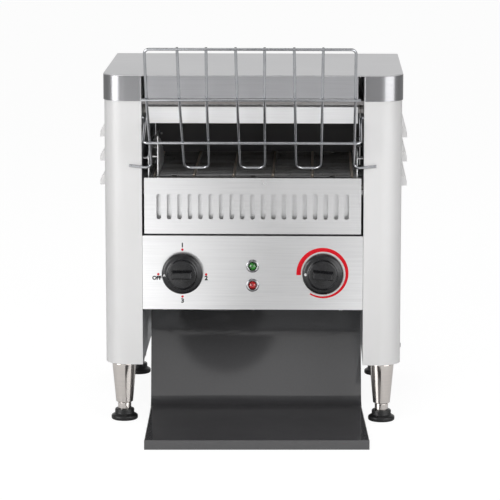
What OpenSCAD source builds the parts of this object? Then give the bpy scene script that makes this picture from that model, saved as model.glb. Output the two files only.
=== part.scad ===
// Conveyor toaster. Millimetres, +Z up, +X to the right as seen from the front.
// The front faces -Y and the origin is the centre of the footprint on the counter.
// Inside the modules y = 0 is the plane of the front trim bands; in_machine() moves it home.

/* [Body] */
// Width over the trim bands
body_w = 368; // [364:1:390]
// Depth from the front trim to the rear panel
body_d = 306; // [304:1:330]
// Height of the top cover above the counter
top_z = 432; // [430:1:450]
// Height of the casings' lower edge above the counter
base_z = 72; // [68:1:76]
// Width of each side casing, seen from the front
post_w = 48; // [47:1:52]
// Radius of the casings' upright corners
corner_r = 28; // [20:1:32]
// Sheet of the side casings and the rear panel
casing_t = 1.2; // [0.8:0.1:1.4]
// Sheet of the two chassis side plates
chassis_t = 1.5; // [1.2:0.1:2]
// Sheet of the top cover
cover_t = 1.5; // [1:0.1:2]
// Depth of the cover's flat part, in front of its rear slope
cover_flat = 273; // [262:1:280]
// Drop of the cover's rear slope
rear_drop = 16; // [8:1:20]
// Height of the stainless bands round the casings' tops
band_h = 30.4; // [26:0.2:34]
// Sheet of the trim bands
band_t = 1; // [0.8:0.1:1.2]
// Sheet of the trays, shields and brackets inside
sheet_t = 1.2; // [0.8:0.1:1.4]

/* [Side louvres] */
// Louvre rows on each casing
louvre_rows = 3; // [1:1:3]
// Lower edge of the lowest louvre above the counter
louvre_z = 291; // [280:1:300]
// Height step between the louvre rows
louvre_step = 30; // [26:1:32]
// Length of one louvre
louvre_len = 104; // [80:1:108]
// Height of one louvre hood
louvre_h = 14; // [10:1:16]
// How far a hood's lower edge stands out of the casing
louvre_out = 7; // [5:0.5:9]
// Distance from the front trim to the first louvre
louvre_y = 42; // [36:1:50]

/* [Front panels] */
// Lower edge of the control panel above the counter
panel_z = 142; // [138:1:146]
// Height of the control panel
panel_h = 92; // [90:1:94]
// Sheet of the control panel
panel_t = 1.5; // [1.2:0.1:2]
// Clearance between the control panel and each casing
panel_gap = 0.4; // [0.2:0.1:1]
// Gap between the control panel and the vented panel
seam_gap = 2.4; // [1:0.2:4]
// Height of the vented front panel
vent_h = 69.2; // [66:0.2:70]
// Gap between the vented panel and each casing
vent_gap = 3; // [1:0.5:4]
// Number of upright slots in the vented panel
slot_count = 19; // [9:2:21]
// Distance of the outer slots from the vented panel's ends
slot_in = 17.8; // [16:0.2:20]
// Width of one slot
slot_w = 5.6; // [4:0.2:6]
// Height of one slot
slot_h = 31.4; // [26:0.2:36]
// Height of the slots' lower ends above the vented panel's lower edge
slot_rise = 18; // [14:0.5:22]
// Height of the lip under the cover's front edge
lip_h = 26.8; // [24:0.2:28]
// Gap at each end of the lip and the shield, where the rack's wires pass
wire_gap = 7.5; // [6.5:0.5:9]
// Lower edge of the upper front shield above the counter
shield_z = 370.8; // [368:0.2:374]
// Height of the upper front shield
shield_h = 21; // [18:0.5:23]
// Distance of the upper front shield behind the front trim
shield_y = 20; // [18:1:24]

/* [Belt] */
// Wire of the belt
belt_wire = 2.2; // [1.8:0.1:2.4]
// Distance between the belt's cross wires
belt_pitch = 12.7; // [12.5:0.1:12.8]
// Teeth of a belt sprocket, an even number
belt_teeth = 10; // [10]
// Cross wires along each straight run
belt_run = 17; // [17]
// Gap between the belt and each chassis plate
belt_gap = 8.5; // [7:0.5:11]
// Distance of the outer lengthwise strands from the belt's edges
strand_in = 5.5; // [4:0.5:8]
// Number of lengthwise strands
strand_count = 6; // [6]
// Width of a lengthwise strand
strand_w = 5; // [4:0.5:6]
// Height of the belt's upper face above the counter
belt_top = 304; // [302:1:306]
// Distance of the front belt shaft behind the front trim
idler_y = 36; // [34:1:40]
// Diameter of both belt shafts
shaft_d = 10; // [8:1:12]
// Width of a belt sprocket
sprocket_w = 6; // [5:0.5:8]
// Diameter of the bushes in the chassis plates
bush_d = 16; // [14:1:18]

/* [Drive] */
// Pitch of the drive chain
chain_pitch = 8; // [8]
// Teeth of both chain sprockets
chain_teeth = 12; // [12]
// Links along each straight run of the chain
chain_run = 23; // [23]
// Fall of the chain from the rear shaft to the motor, in degrees
chain_fall = 29.5; // [28:0.5:31]
// Diameter of the chain's rollers
roller_d = 3.2; // [2.8:0.1:3.4]
// Distance of the chain from the chassis plate
chain_off = 20.5; // [19:0.5:23]
// Diameter of the gearbox output shaft
motor_shaft_d = 8; // [6:1:10]
// Side of the square gearbox
gearbox_w = 46; // [40:1:48]
// Length of the gearbox
gearbox_l = 30; // [24:1:34]
// Diameter of the motor
motor_d = 42; // [36:1:44]
// Length of the motor
motor_l = 56; // [48:1:58]

/* [Heaters] */
// Diameter of the quartz tubes
tube_d = 10; // [8:1:11]
// Number of tubes over the belt
upper_tubes = 4; // [2:1:4]
// Number of tubes between the belt's runs
lower_tubes = 3; // [2:1:3]
// Distance between the upper tubes
upper_step = 58; // [50:1:60]
// Distance between the lower tubes
lower_step = 56; // [48:1:58]
// Distance of the upper tubes below the upper reflector
upper_tube_drop = 13.8; // [12:0.2:18]
// Diameter of the ceramic caps' flanges
cap_d = 18; // [16:1:20]
// Length of a ceramic cap outside the chassis plate
cap_l = 10; // [8:1:12]

/* [Controls] */
// Distance of each knob from its chassis plate
knob_in = 49.6; // [46:0.2:52]
// Height of the knobs above the counter
knob_z = 187.4; // [186:0.2:189]
// Diameter of the knobs
knob_d = 50.6; // [46:0.2:54]
// Thickness of a knob's outer disc
knob_disc = 8; // [6:0.5:10]
// Diameter of a knob's raised hub
hub_d = 36; // [32:1:40]
// How far the hub stands out of the disc
hub_h = 5; // [3:0.5:8]
// Length of the grip bar
grip_l = 26; // [22:0.5:30]
// Width of the grip bar at the hub
grip_w = 12.4; // [10:0.2:14]
// How far the grip bar stands out of the hub
grip_h = 9; // [6:0.5:12]
// Narrowing of the grip bar at each side, towards its face
grip_draft = 2.5; // [1:0.1:3]
// Gap between a knob and the panel
knob_gap = 1; // [0.6:0.1:2]
// Tilt of the speed knob's grip at rest, in degrees
speed_tilt = 5; // [0:1:10]
// Diameter of the switch shafts
spindle_d = 6; // [5:0.5:7]
// Height of the upper pilot lamp above the counter
lamp_z = 196.4; // [195:0.2:198]
// Distance between the two pilot lamps
lamp_step = 23.8; // [20:0.2:26]
// Outer diameter of a lamp's chrome ring
lamp_d = 16.2; // [14:0.2:18]
// Distance of the outer panel screws from the chassis plates
screw_in = 27.5; // [22:0.5:32]

/* [Fan] */
// Side of the square fan frame
fan_w = 120; // [112:1:120]
// Thickness of the fan frame
fan_h = 20; // [18:1:21]
// Distance of the fan from the middle, towards the left
fan_x = 42; // [40:1:50]
// Number of fan blades
fan_blades = 7; // [5:1:9]
// Gap between the fan and the control box's rear wall
box_gap = 1.2; // [1:0.1:2.4]

/* [Bread rack] */
// Wire of the rack
rack_wire = 3.4; // [3:0.1:3.8]
// Distance between the middles of the rack's wire loops
loop_step = 68.5; // [64:0.5:70]
// Width of a loop at the top
loop_top = 34; // [32:0.5:36]
// Width of a loop at the bottom
loop_low = 30.6; // [28:0.2:32]
// Distance of the outer wires from the chassis plates
rack_gap = 12.3; // [12:0.1:13]
// How far the rack's top wire stands in front of the trim
rack_top_out = 134; // [126:1:144]
// Height of the rack's top wire above the counter
rack_top_z = 476.5; // [470:0.5:484]
// How far the rack's bend stands in front of the trim
rack_bend_out = 98.6; // [94:0.2:104]
// Height of the rack's bend above the counter
rack_bend_z = 414.7; // [410:0.2:420]
// Height of the loops' lower ends above the counter
rack_low_z = 318; // [316:0.5:322]
// How far the loops' lower ends reach behind the front trim
rack_low_in = 3; // [1:0.5:5]
// Height of the hinge ends above the counter
hinge_z = 379; // [377:0.5:381]
// Distance of the hinge ends behind the front trim
hinge_y = 9; // [8:0.5:11]

/* [Discharge tray] */
// Reach of the tray in front of the trim
tray_reach = 146; // [130:1:160]
// Gap between the tray's flanges and each side casing
tray_gap = 1.75; // [1.5:0.25:4]
// Narrowing of the floor at each side of the tray's front
tray_taper = 9.5; // [6:0.5:12]
// Height of the tray's front lip
tray_lip = 11.6; // [8:0.2:14]
// Distance of the tray's bend behind the front trim
tray_bend = 101; // [96:1:106]
// Distance of the upright panel's top behind the front trim
tray_top_y = 144; // [141:1:147]
// Height of the upright panel's top above the counter
tray_top_z = 131; // [126:1:132]
// Bend radius between the tray's floor and panel
tray_r = 14; // [8:1:20]
// Turn of the loose tray on the counter, in degrees
tray_turn = 1.4; // [0:0.1:1.5]
// Sideways place of the loose tray's upright panel
tray_x = 1.2; // [0:0.1:1.2]

/* [Legs and feet] */
// Diameter of a leg at the top
leg_top_d = 30; // [28:1:31]
// Diameter of a leg at its lower end
leg_low_d = 21; // [19:1:24]
// Height of a leg's lower end above the counter
leg_z = 22; // [20:1:24]
// Distance of the legs from the front and rear faces
leg_in = 16; // [15.5:0.5:18]
// Diameter of a foot
foot_d = 33; // [28:1:34]
// Height of a foot, up to its neck
foot_h = 13.7; // [12:0.1:15]
// Thickness of a foot's disc, below its cone
foot_disc = 8.5; // [5:0.5:10]
// Diameter of a foot's screw
foot_stud_d = 10; // [8:1:12]
// Length of a foot's screw inside the leg
foot_stud_l = 30; // [20:1:36]

/* [Rear] */
// Lower edge of the rear panel above the counter
rear_z = 96; // [88:1:110]
// Diameter of the cord gland's nut
gland_d = 22; // [18:1:26]
// How far the cord gland stands out of the rear panel
gland_out = 12; // [8:1:16]
// Distance of the cord gland from the left chassis plate
gland_in = 26; // [18:1:36]
// Height of the cord gland above the counter
gland_z = 128; // [122:1:134]
// Bore of the cord gland
gland_bore = 9; // [7:0.5:9]
// Number of air slots in the rear panel
rear_slots = 9; // [3:2:9]
// Distance of the outer rear air slots from the chassis plates
rear_slot_in = 48; // [44:1:60]
// Width of a rear air slot
rear_slot_w = 5; // [3:0.5:8]
// Height of a rear air slot
rear_slot_h = 35; // [20:1:60]
// Height of the air slots' lower ends above the rear panel's lower edge
rear_slot_rise = 17.5; // [10:0.5:60]

/* [Hidden] */
$fn = 48;

// Fits and clearances
running = 0.05;              // radial clearance of a turning fit
press = 0.02;                // radial clearance of a wheel or knob on its shaft
seat = 0.1;                  // clearance of a fixed fit
side_gap = 0.3;              // clearance at each end of the cross sheets
foot_clear = 0.3;            // gap between a foot's neck and its leg
cut = 1;                     // how far a cutting solid passes the face that it cuts
tooth_gap = 0.4;             // clearance round a pin in its gullet
lap = 0.3;                   // how far a straight run ends inside its round bend

// Body
skin = band_t + seat;        // the casings' outer face behind the bands' outer face
plate_y = skin + casing_t;   // front and rear edges of the chassis plates
opening_w = body_w - 2 * post_w;
opening_x = opening_w / 2;
inner_w = opening_w - 2 * side_gap;
under_cover = top_z - cover_t;
hood_x = body_w / 2 - skin;
louvre_gap = 14;             // between the two columns of louvres
plate_low_t = 2;             // thickness of the base plates
leg_x = body_w / 2 - post_w / 2;
leg_ys = [leg_in, body_d - leg_in];
nut_h = 6.5;                 // height of a leg's nut
screw_d = 3;
screw_y = 8;                 // the panel's lower screws behind the trim
tray_w = opening_w - 2 * tray_gap;

// Place of the machine: half the depth from the turned tray's nearest corner to the gland
front_reach = (tray_top_y + tray_reach) * cos(tray_turn) + tray_w / 2 * sin(tray_turn)
    - tray_top_y;
front_y = front_reach - (front_reach + body_d + gland_out) / 2;

// Panels
panel_fold = 14;             // depth of the control panel's lower fold
vent_z = panel_z + panel_h + seam_gap;
vent_w = opening_w - 2 * vent_gap;
slot_pitch = (vent_w - 2 * slot_in) / (slot_count - 1);
lip_w = opening_w - 2 * wire_gap;
shield_rise = 6;             // gap between the shield and the reflector that hangs over it
reflector_z = shield_z + shield_h + shield_rise;

// Belt and drive
belt_w = opening_w - 2 * belt_gap;
strand_pitch = (belt_w - 2 * strand_in) / (strand_count - 1);
belt_r = belt_teeth * belt_pitch / (2 * PI);
belt_z = belt_top - belt_wire / 2 - belt_r;
drive_y = idler_y + belt_run * belt_pitch;
mid_y = (idler_y + drive_y) / 2;
shaft_end = opening_x + chassis_t + 7;
wheel_step = 2 * strand_pitch;
guide_gap = 1.5;             // gap between the belt and the bread guides
chain_r = chain_teeth * chain_pitch / (2 * PI);
chain_x = opening_x + chain_off;
chain_w = 6.4;               // length of a chain roller, over both plates
motor_y = drive_y - chain_run * chain_pitch * cos(chain_fall);
motor_z = belt_z - chain_run * chain_pitch * sin(chain_fall);

// Heaters
upper_tube_z = reflector_z - upper_tube_drop;
upper_ys = [for (i = [0 : upper_tubes - 1]) mid_y + (i - (upper_tubes - 1) / 2) * upper_step];
lower_ys = [for (i = [0 : lower_tubes - 1]) mid_y + (i - (lower_tubes - 1) / 2) * lower_step];
lower_tube_z = belt_z - 3;
cap_neck_d = cap_d - 4;      // the part of a cap that sits in its plate
tube_out = 7;                // how far a tube passes the chassis plate

// Fan
fan_hole_d = fan_w - 6;
fan_hub_d = 40;
fan_base_h = 5;              // height of the fan's motor base
fan_pin_d = 4;
fan_y = plate_y + fan_w / 2 + 0.5;
fan_z = panel_z + panel_t + sheet_t;
box_d = max(fan_y + fan_w / 2, motor_y + gearbox_w / 2) + box_gap;

// Controls
knob_x = opening_x - knob_in;
screw_x = opening_x - screw_in;
spindle_in = 14;             // length of a spindle inside its switch
spindle_hole_d = 10;         // hole in the panel round a spindle
lamp_wall = 1;
lamp_neck_d = lamp_d - 4.2;
lamp_neck_l = 6;             // how far a ring's neck passes the panel

// Rack, in [depth, height]
outer_x = opening_x - rack_gap;
rack_top = [-rack_top_out, rack_top_z];
rack_bend = [-rack_bend_out, rack_bend_z];
rack_low = [rack_low_in, rack_low_z];
rack_cross = 0.385;          // place of the lower cross wire between the low end and the bend
rack_under = -0.5 * rack_wire * [1, 1];   // the cross wires lie under the long ones

// Tray and cord gland
tray_flange_y = tray_bend - tray_r - 1;   // rear end of the tray's sloping sides
gland_x = opening_x - gland_in;
gland_neck_d = gland_d - 6;
rear_slot_step = (opening_w - 2 * rear_slot_in) / (rear_slots - 1);

function between(a, b, s) = a + (b - a) * s;

// Place of pin i on a loop round two wheels of the same size: n pins on each straight run,
// the first wheel at the origin and the second at [n * pitch, 0]
function loop_point(i, n, teeth, pitch, r) =
    let (a = 360 / teeth, half = teeth / 2)
    i < n ? [i * pitch, r]
    : i < n + half ? [n * pitch + r * sin((i - n) * a), r * cos((i - n) * a)]
    : i < 2 * n + half ? [(2 * n + half - i) * pitch, -r]
    : [-r * sin((i - 2 * n - half) * a), -r * cos((i - 2 * n - half) * a)];

module in_machine() translate([0, front_y, 0]) children();

module on_side(side) mirror([side < 0 ? 1 : 0, 0, 0]) children();

// A section drawn as [depth, height], extruded across the width
module across(w) rotate([90, 0, 90]) linear_extrude(w, center = true) children();

// A section drawn as [width, height], extruded back from y = from
module back_from(from, length)
    translate([0, from + length, 0]) rotate([90, 0, 0]) linear_extrude(length) children();

// Turns a wheel drawn in the X-Y plane into the depth-height plane
module upright() rotate([90, 0, 90]) children();

// A round bar across the width
module cross_bar(d, length) rotate([0, 90, 0]) cylinder(d = d, h = length, center = true);

// A round bar that runs back from the origin
module depth_bar(d, length) rotate([-90, 0, 0]) cylinder(d = d, h = length);

// A slot with round ends, standing on the origin
module obround(w, h) {
    translate([-w / 2, w / 2]) square([w, h - w]);
    for (z = [w / 2, h - w / 2]) translate([0, z]) circle(d = w);
}

// A bent sheet: its middle line and its thickness
module bent(line, t) {
    for (i = [0 : len(line) - 2]) {
        run = line[i + 1] - line[i];
        translate(line[i]) rotate(atan2(run[1], run[0])) translate([0, -t / 2])
            square([norm(run), t]);
    }
    for (i = [1 : 1 : len(line) - 2]) translate(line[i]) circle(d = t);
}

// A round bend of a sheet: part of a ring of mean radius r, from one angle to another.
// It is a shade thicker than the sheet, whose straight runs end inside it.
module sheet_bend(centre, r, t, from, to) {
    far = 2 * (r + t);
    half = 0.51 * t;
    translate(centre) intersection() {
        difference() {
            circle(r + half, $fn = 96);
            circle(r - half, $fn = 96);
        }
        polygon([[0, 0], for (a = [from, (from + to) / 2, to]) far * [cos(a), sin(a)]]);
    }
}

// A bent wire: straight rods with round elbows
module wire(points, d) {
    elbow_d = d * 1.04;
    for (i = [0 : len(points) - 2]) {
        run = points[i + 1] - points[i];
        translate(points[i]) rotate([0, acos(run[2] / norm(run)), atan2(run[1], run[0])]) {
            cylinder(d = d, h = norm(run), $fn = 24);
            if (i < len(points) - 2) translate([0, 0, norm(run)]) sphere(d = elbow_d, $fn = 24);
        }
    }
}

// The right casing seen from above, its faces moved in by inset, from x = from outwards
module casing_plan(inset, from) {
    r = corner_r - inset;
    far = body_w / 2 - inset;
    high = body_d - inset;
    translate([from, inset]) square([far - r - from, high - inset]);
    translate([from, inset + r]) square([far - from, high - inset - 2 * r]);
    for (y = [inset + r, high - r]) intersection() {
        translate([far - r, y]) circle(r);
        translate([from, inset]) square([far - from, high - inset]);
    }
}

// A wall that follows the casing's outline, its outer face moved in by inset
module casing_wall(inset, t, z0, z1) {
    difference() {
        translate([0, 0, z0]) linear_extrude(z1 - z0) casing_plan(inset, opening_x);
        translate([0, 0, z0 - cut]) linear_extrude(z1 - z0 + 2 * cut)
            casing_plan(inset + t, opening_x - cut);
        above_slope();
    }
}

// Everything above the underside of the cover's rear slope
module above_slope() {
    rear = body_d + cut;
    fall = atan2(rear_drop, body_d - cover_flat);
    start = under_cover - cover_t / 2 * (1 / cos(fall) - 1) - press;
    across(body_w + 2 * cut) polygon([
        [cover_flat - cut, under_cover], [cover_flat, start], [body_d, start - rear_drop],
        [rear, start - rear_drop], [rear, top_z + cut], [cover_flat - cut, top_z + cut]
    ]);
}

// Casings and cover

module louvre_hood() {
    root_x = hood_x - casing_t / 2;
    tip_x = hood_x + louvre_out - casing_t / 2;
    back_from(louvre_y, louvre_len) bent([[root_x, louvre_h], [tip_x, 0]], casing_t);
    for (y = [louvre_y, louvre_y + louvre_len - casing_t])
        back_from(y, casing_t) polygon([[root_x, louvre_h], [tip_x, 0], [root_x, 0]]);
}

module side_casing() {
    far_y = louvre_len + louvre_gap;
    root_h = 3;              // height of a hood above its opening
    difference() {
        casing_wall(skin, casing_t, base_z, under_cover);
        for (row = [0 : louvre_rows - 1], col = [0, 1])
            translate([hood_x - 2 * casing_t, louvre_y + casing_t + col * far_y,
                       louvre_z + row * louvre_step])
                cube([3 * casing_t, louvre_len - 2 * casing_t, louvre_h - root_h]);
    }
    for (row = [0 : louvre_rows - 1], col = [0, 1])
        translate([0, col * far_y, louvre_z + row * louvre_step]) louvre_hood();
}

module left_side_casing() in_machine() color("gainsboro") on_side(-1) side_casing();

module right_side_casing() in_machine() color("gainsboro") side_casing();

module top_bands() in_machine() color("silver") for (side = [-1, 1]) on_side(side)
    casing_wall(0, band_t, under_cover - band_h, under_cover);

module top_cover() in_machine() color("darkgray") {
    mid = top_z - cover_t / 2;
    intersection() {
        across(body_w)
            bent([[0, mid], [cover_flat, mid], [body_d, mid - rear_drop]], cover_t);
        for (side = [-1, 1]) on_side(side)
            translate([0, 0, top_z - rear_drop - 2 * cover_t])
                linear_extrude(rear_drop + 3 * cover_t) casing_plan(0, 0);
    }
}

module front_lip() in_machine() color("dimgray") {
    h = sheet_t / 2;
    low = under_cover - lip_h + h;
    high = under_cover - h;
    fold = 16;
    top_fold = 12;
    across(lip_w)
        bent([[fold, low], [skin + h, low], [skin + h, high], [top_fold, high]], sheet_t);
}

// Chassis

module plate_hole(y, z, d) translate([opening_x, y, z]) cross_bar(d, 4 * chassis_t);

module side_plate() {
    difference() {
        translate([opening_x, plate_y, base_z])
            cube([chassis_t, body_d - 2 * plate_y, under_cover - base_z]);
        above_slope();
        for (y = [idler_y, drive_y]) plate_hole(y, belt_z, bush_d + 2 * seat);
        for (y = upper_ys) plate_hole(y, upper_tube_z, cap_neck_d + 2 * seat);
        for (y = lower_ys) plate_hole(y, lower_tube_z, cap_neck_d + 2 * seat);
        plate_hole(hinge_y, hinge_z, rack_wire + 2 * running);
    }
}

module left_side_plate() in_machine() color("lightsteelblue") on_side(-1) side_plate();

module right_side_plate() in_machine() color("lightsteelblue") difference() {
    side_plate();
    plate_hole(motor_y, motor_z, motor_shaft_d + 6);
}

module base_plates() in_machine() color("slategray") for (side = [-1, 1]) on_side(side)
    difference() {
        translate([0, 0, base_z]) linear_extrude(plate_low_t)
            casing_plan(plate_y + seat, opening_x + chassis_t + seat);
        for (y = leg_ys) translate([leg_x, y, base_z - cut])
            cylinder(d = foot_stud_d + 2 * seat, h = plate_low_t + 2 * cut);
    }

module rear_panel() in_machine() color("gainsboro") {
    top = under_cover - rear_drop - 1;
    y = body_d - skin - casing_t;
    difference() {
        translate([-inner_w / 2, y, rear_z]) cube([inner_w, casing_t, top - rear_z]);
        for (i = [0 : rear_slots - 1])
            translate([(i - (rear_slots - 1) / 2) * rear_slot_step, 0, rear_z + rear_slot_rise])
                back_from(y - cut, casing_t + 2 * cut) obround(rear_slot_w, rear_slot_h);
        translate([-gland_x, y - cut, gland_z])
            depth_bar(gland_neck_d + 2 * seat, casing_t + 2 * cut);
    }
}

module rear_crossbar() in_machine() color("slategray") {
    h = chassis_t / 2;
    y = body_d - skin - casing_t - h;
    bar_w = 22;
    lip = 6;
    rise = 12;               // how far the bar's rear flange reaches up the rear panel
    across(inner_w) bent([[y + h - bar_w, base_z + lip], [y + h - bar_w, base_z + h],
                          [y, base_z + h], [y, rear_z + rise]], chassis_t);
}

// Front panels

module control_panel() in_machine() color("lightgray") {
    h = panel_t / 2;
    low = panel_z + h;
    high = panel_z + panel_h - h;
    top_fold = 9;
    deep = panel_t + 2 * cut;
    difference() {
        across(opening_w - 2 * panel_gap)
            bent([[panel_fold, low], [h, low], [h, high], [top_fold, high]], panel_t);
        for (x = [-knob_x, knob_x]) translate([x, -cut, knob_z])
            depth_bar(spindle_hole_d, deep);
        for (i = [0, 1]) translate([0, -cut, lamp_z - i * lamp_step])
            depth_bar(lamp_neck_d + 2 * seat, deep);
        for (x = [-screw_x, 0, screw_x]) translate([x, screw_y, panel_z - cut])
            cylinder(d = screw_d + 1, h = deep);
    }
}

module control_box() in_machine() color("slategray") {
    h = sheet_t / 2;
    low = panel_z + panel_t + h;
    high = panel_z + panel_h - panel_t - h;
    rear = box_d - h;
    deep = panel_t + sheet_t + 2 * cut;
    difference() {
        across(inner_w)
            bent([[panel_t, low], [rear, low], [rear, high], [panel_t, high]], sheet_t);
        translate([-fan_x, fan_y, panel_z]) cylinder(d = fan_hole_d - 4, h = deep);
        for (x = [-screw_x, 0, screw_x]) translate([x, screw_y, panel_z])
            cylinder(d = screw_d + 2 * seat, h = deep);
    }
}

module vented_front_panel() in_machine() color("lightgray") {
    h = sheet_t / 2;
    front = seat + h;
    low = vent_z + h;
    high = vent_z + vent_h - h;
    low_fold = 14;
    top_fold = 9;
    side_fold = 11;
    ear_h = 12;              // height of the ears that hold the panel
    side_low = 4;            // gaps over and under the side folds
    side_high = 12;
    difference() {
        across(vent_w)
            bent([[low_fold, low], [front, low], [front, high], [top_fold, high]], sheet_t);
        for (i = [0 : slot_count - 1])
            translate([(i - (slot_count - 1) / 2) * slot_pitch, 0, vent_z + slot_rise])
                back_from(-cut, sheet_t + 2 * cut) obround(slot_w, slot_h);
    }
    for (side = [-1, 1]) on_side(side)
        translate([vent_w / 2 - sheet_t, seat, vent_z + side_low]) {
        cube([sheet_t, side_fold, vent_h - side_low - side_high]);
        translate([0, side_fold - sheet_t, 0])
            cube([vent_gap + sheet_t - side_gap, sheet_t, ear_h]);
    }
}

module slot_shield() in_machine() color("silver") {
    h = sheet_t / 2;
    back = 12 + h;           // the shield stands behind the slots and in front of the ears
    fold = 6;
    low = vent_z + sheet_t + h;
    high = vent_z + vent_h - 14;
    end_gap = 5;
    across(vent_w - 2 * end_gap) bent([[back - fold, low], [back, low], [back, high]], sheet_t);
}

module upper_front_shield() in_machine() color("whitesmoke") {
    h = sheet_t / 2;
    front = shield_y + h;
    high = shield_z + shield_h - h;
    fold = 12;
    across(lip_w) bent([[front, shield_z], [front, high], [front + fold, high],
                        [front + fold, reflector_z]], sheet_t);
}

module upper_reflector() in_machine() color("silver") {
    z = reflector_z + sheet_t / 2;
    rear = drive_y + belt_r + 12;
    front_drop = 4;
    rear_fold = 14;
    across(inner_w) bent([[shield_y, z - front_drop], [shield_y, z], [rear, z],
                          [rear, z - rear_fold]], sheet_t);
}

module lower_reflector() in_machine() color("silver") {
    wheel_gap = 5;
    rise = 8;
    run = 5;
    low = belt_z - belt_r + belt_wire / 2 + 2 + sheet_t / 2;
    front = idler_y + belt_r + wheel_gap;
    rear = drive_y - belt_r - wheel_gap;
    across(inner_w) bent([[front, low + rise], [front + run, low], [rear - run, low],
                          [rear, low + rise]], sheet_t);
}

// Heaters

module heater_tube() cross_bar(tube_d, opening_w + 2 * (chassis_t + tube_out));

module upper_heaters() in_machine() color("oldlace")
    for (y = upper_ys) translate([0, y, upper_tube_z]) heater_tube();

module lower_heaters() in_machine() color("oldlace")
    for (y = lower_ys) translate([0, y, lower_tube_z]) heater_tube();

module end_cap() {
    translate([opening_x, 0, 0]) rotate([0, 90, 0]) difference() {
        union() {
            cylinder(d = cap_neck_d, h = chassis_t);
            translate([0, 0, chassis_t]) cylinder(d = cap_d, h = cap_l);
        }
        translate([0, 0, -cut])
            cylinder(d = tube_d + 2 * seat, h = cut + chassis_t + tube_out + 2 * seat);
    }
}

module heater_end_caps() in_machine() color("ivory") for (side = [-1, 1]) on_side(side) {
    for (y = upper_ys) translate([0, y, upper_tube_z]) end_cap();
    for (y = lower_ys) translate([0, y, lower_tube_z]) end_cap();
}

// Belt

// The outline of a band of thickness t round two wheels
module loop_ring(n, pitch, r, t) {
    difference() {
        union() {
            for (x = [0, n * pitch]) translate([x, 0]) circle(r + t / 2, $fn = 96);
            translate([0, -r - t / 2]) square([n * pitch, 2 * r + t]);
        }
        for (x = [0, n * pitch]) translate([x, 0]) circle(r - t / 2, $fn = 96);
        translate([0, -r + t / 2]) square([n * pitch, 2 * r - t]);
    }
}

module conveyor_belt() in_machine() color("darkgray") translate([0, idler_y, belt_z]) {
    strand_t = 0.9 * belt_wire;
    for (i = [0 : 2 * belt_run + belt_teeth - 1]) {
        p = loop_point(i, belt_run, belt_teeth, belt_pitch, belt_r);
        translate([0, p[0], p[1]]) rotate([0, 90, 0])
            cylinder(d = belt_wire, h = belt_w, center = true, $fn = 16);
    }
    for (i = [0 : strand_count - 1])
        translate([(i - (strand_count - 1) / 2) * strand_pitch, 0, 0])
            across(strand_w) loop_ring(belt_run, belt_pitch, belt_r, strand_t);
}

// A toothed wheel whose gullets hold the pins of a chain or the cross wires of a belt
module pin_wheel(teeth, r, pin_d, w, bore, tip) {
    gullet = pin_d + 2 * tooth_gap;
    long = w + 2 * cut;
    difference() {
        cylinder(r = r + tip, h = w, center = true, $fn = 96);
        for (i = [0 : teeth - 1]) rotate(90 + i * 360 / teeth) translate([r, 0, 0]) {
            cylinder(d = gullet, h = long, center = true, $fn = 24);
            translate([tip / 2 + cut, 0, 0]) cube([tip + 2 * cut, gullet, long], center = true);
        }
        cylinder(d = bore, h = long, center = true);
    }
}

module belt_wheels(y) for (i = [-1 : 1]) translate([i * wheel_step, y, belt_z]) upright()
    pin_wheel(belt_teeth, belt_r, belt_wire, sprocket_w, shaft_d + 2 * press, 1);

module drive_sprockets() in_machine() color("dimgray") belt_wheels(drive_y);

module idler_sprockets() in_machine() color("dimgray") belt_wheels(idler_y);

module drive_shaft() in_machine() color("silver") {
    wheel_side = 8;          // how far the shaft passes the middle of the chain wheel
    translate([-shaft_end, drive_y, belt_z]) rotate([0, 90, 0])
        cylinder(d = shaft_d, h = shaft_end + chain_x + wheel_side);
}

module idler_shaft() in_machine() color("silver")
    translate([0, idler_y, belt_z]) cross_bar(shaft_d, 2 * shaft_end);

module shaft_bushes() in_machine() color("peru")
    for (side = [-1, 1], y = [idler_y, drive_y]) on_side(side)
        translate([opening_x, y, belt_z]) rotate([0, 90, 0]) difference() {
            flange_t = 4;
            union() {
                cylinder(d = bush_d, h = chassis_t);
                translate([0, 0, chassis_t]) cylinder(d = bush_d + 6, h = flange_t);
            }
            translate([0, 0, -cut])
                cylinder(d = shaft_d + 2 * running, h = chassis_t + flange_t + 2 * cut);
        }

// Rails between the strands carry the belt's upper run, and two bars carry the rails
module belt_support() in_machine() color("gray") {
    rail_w = 3;
    rail_h = 8;
    bar_d = 6;
    wheel_gap = 3;
    low = belt_top - belt_wire - 0.4 - rail_h;
    front = idler_y + belt_r + wheel_gap;
    rear = drive_y - belt_r - wheel_gap;
    for (i = [-1.5 : 1.5]) translate([i * 1.5 * strand_pitch - rail_w / 2, front, low])
        cube([rail_w, rear - front, rail_h]);
    for (i = [0, 1]) translate([0, (lower_ys[i] + lower_ys[i + 1]) / 2, low])
        cross_bar(bar_d, inner_w);
}

module bread_guide() {
    front = 12;
    rear = drive_y - 18;
    high = 31;
    x = belt_w / 2;
    low = belt_top + guide_gap;
    ear_w = 14;
    ear_in = 18;             // distance of the front ear behind the guide's front
    ear_rise = 20;
    slant = 8;               // how far the upper front corner is cut back
    translate([x, 0, 0]) upright() linear_extrude(sheet_t) polygon([
        [front, low], [front, low + high - slant], [front + slant, low + high],
        [rear, low + high], [rear, low]
    ]);
    for (y = [front + ear_in, mid_y, rear - ear_w]) translate([x, y, low + ear_rise])
        cube([opening_x - x - side_gap, ear_w, sheet_t]);
}

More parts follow.
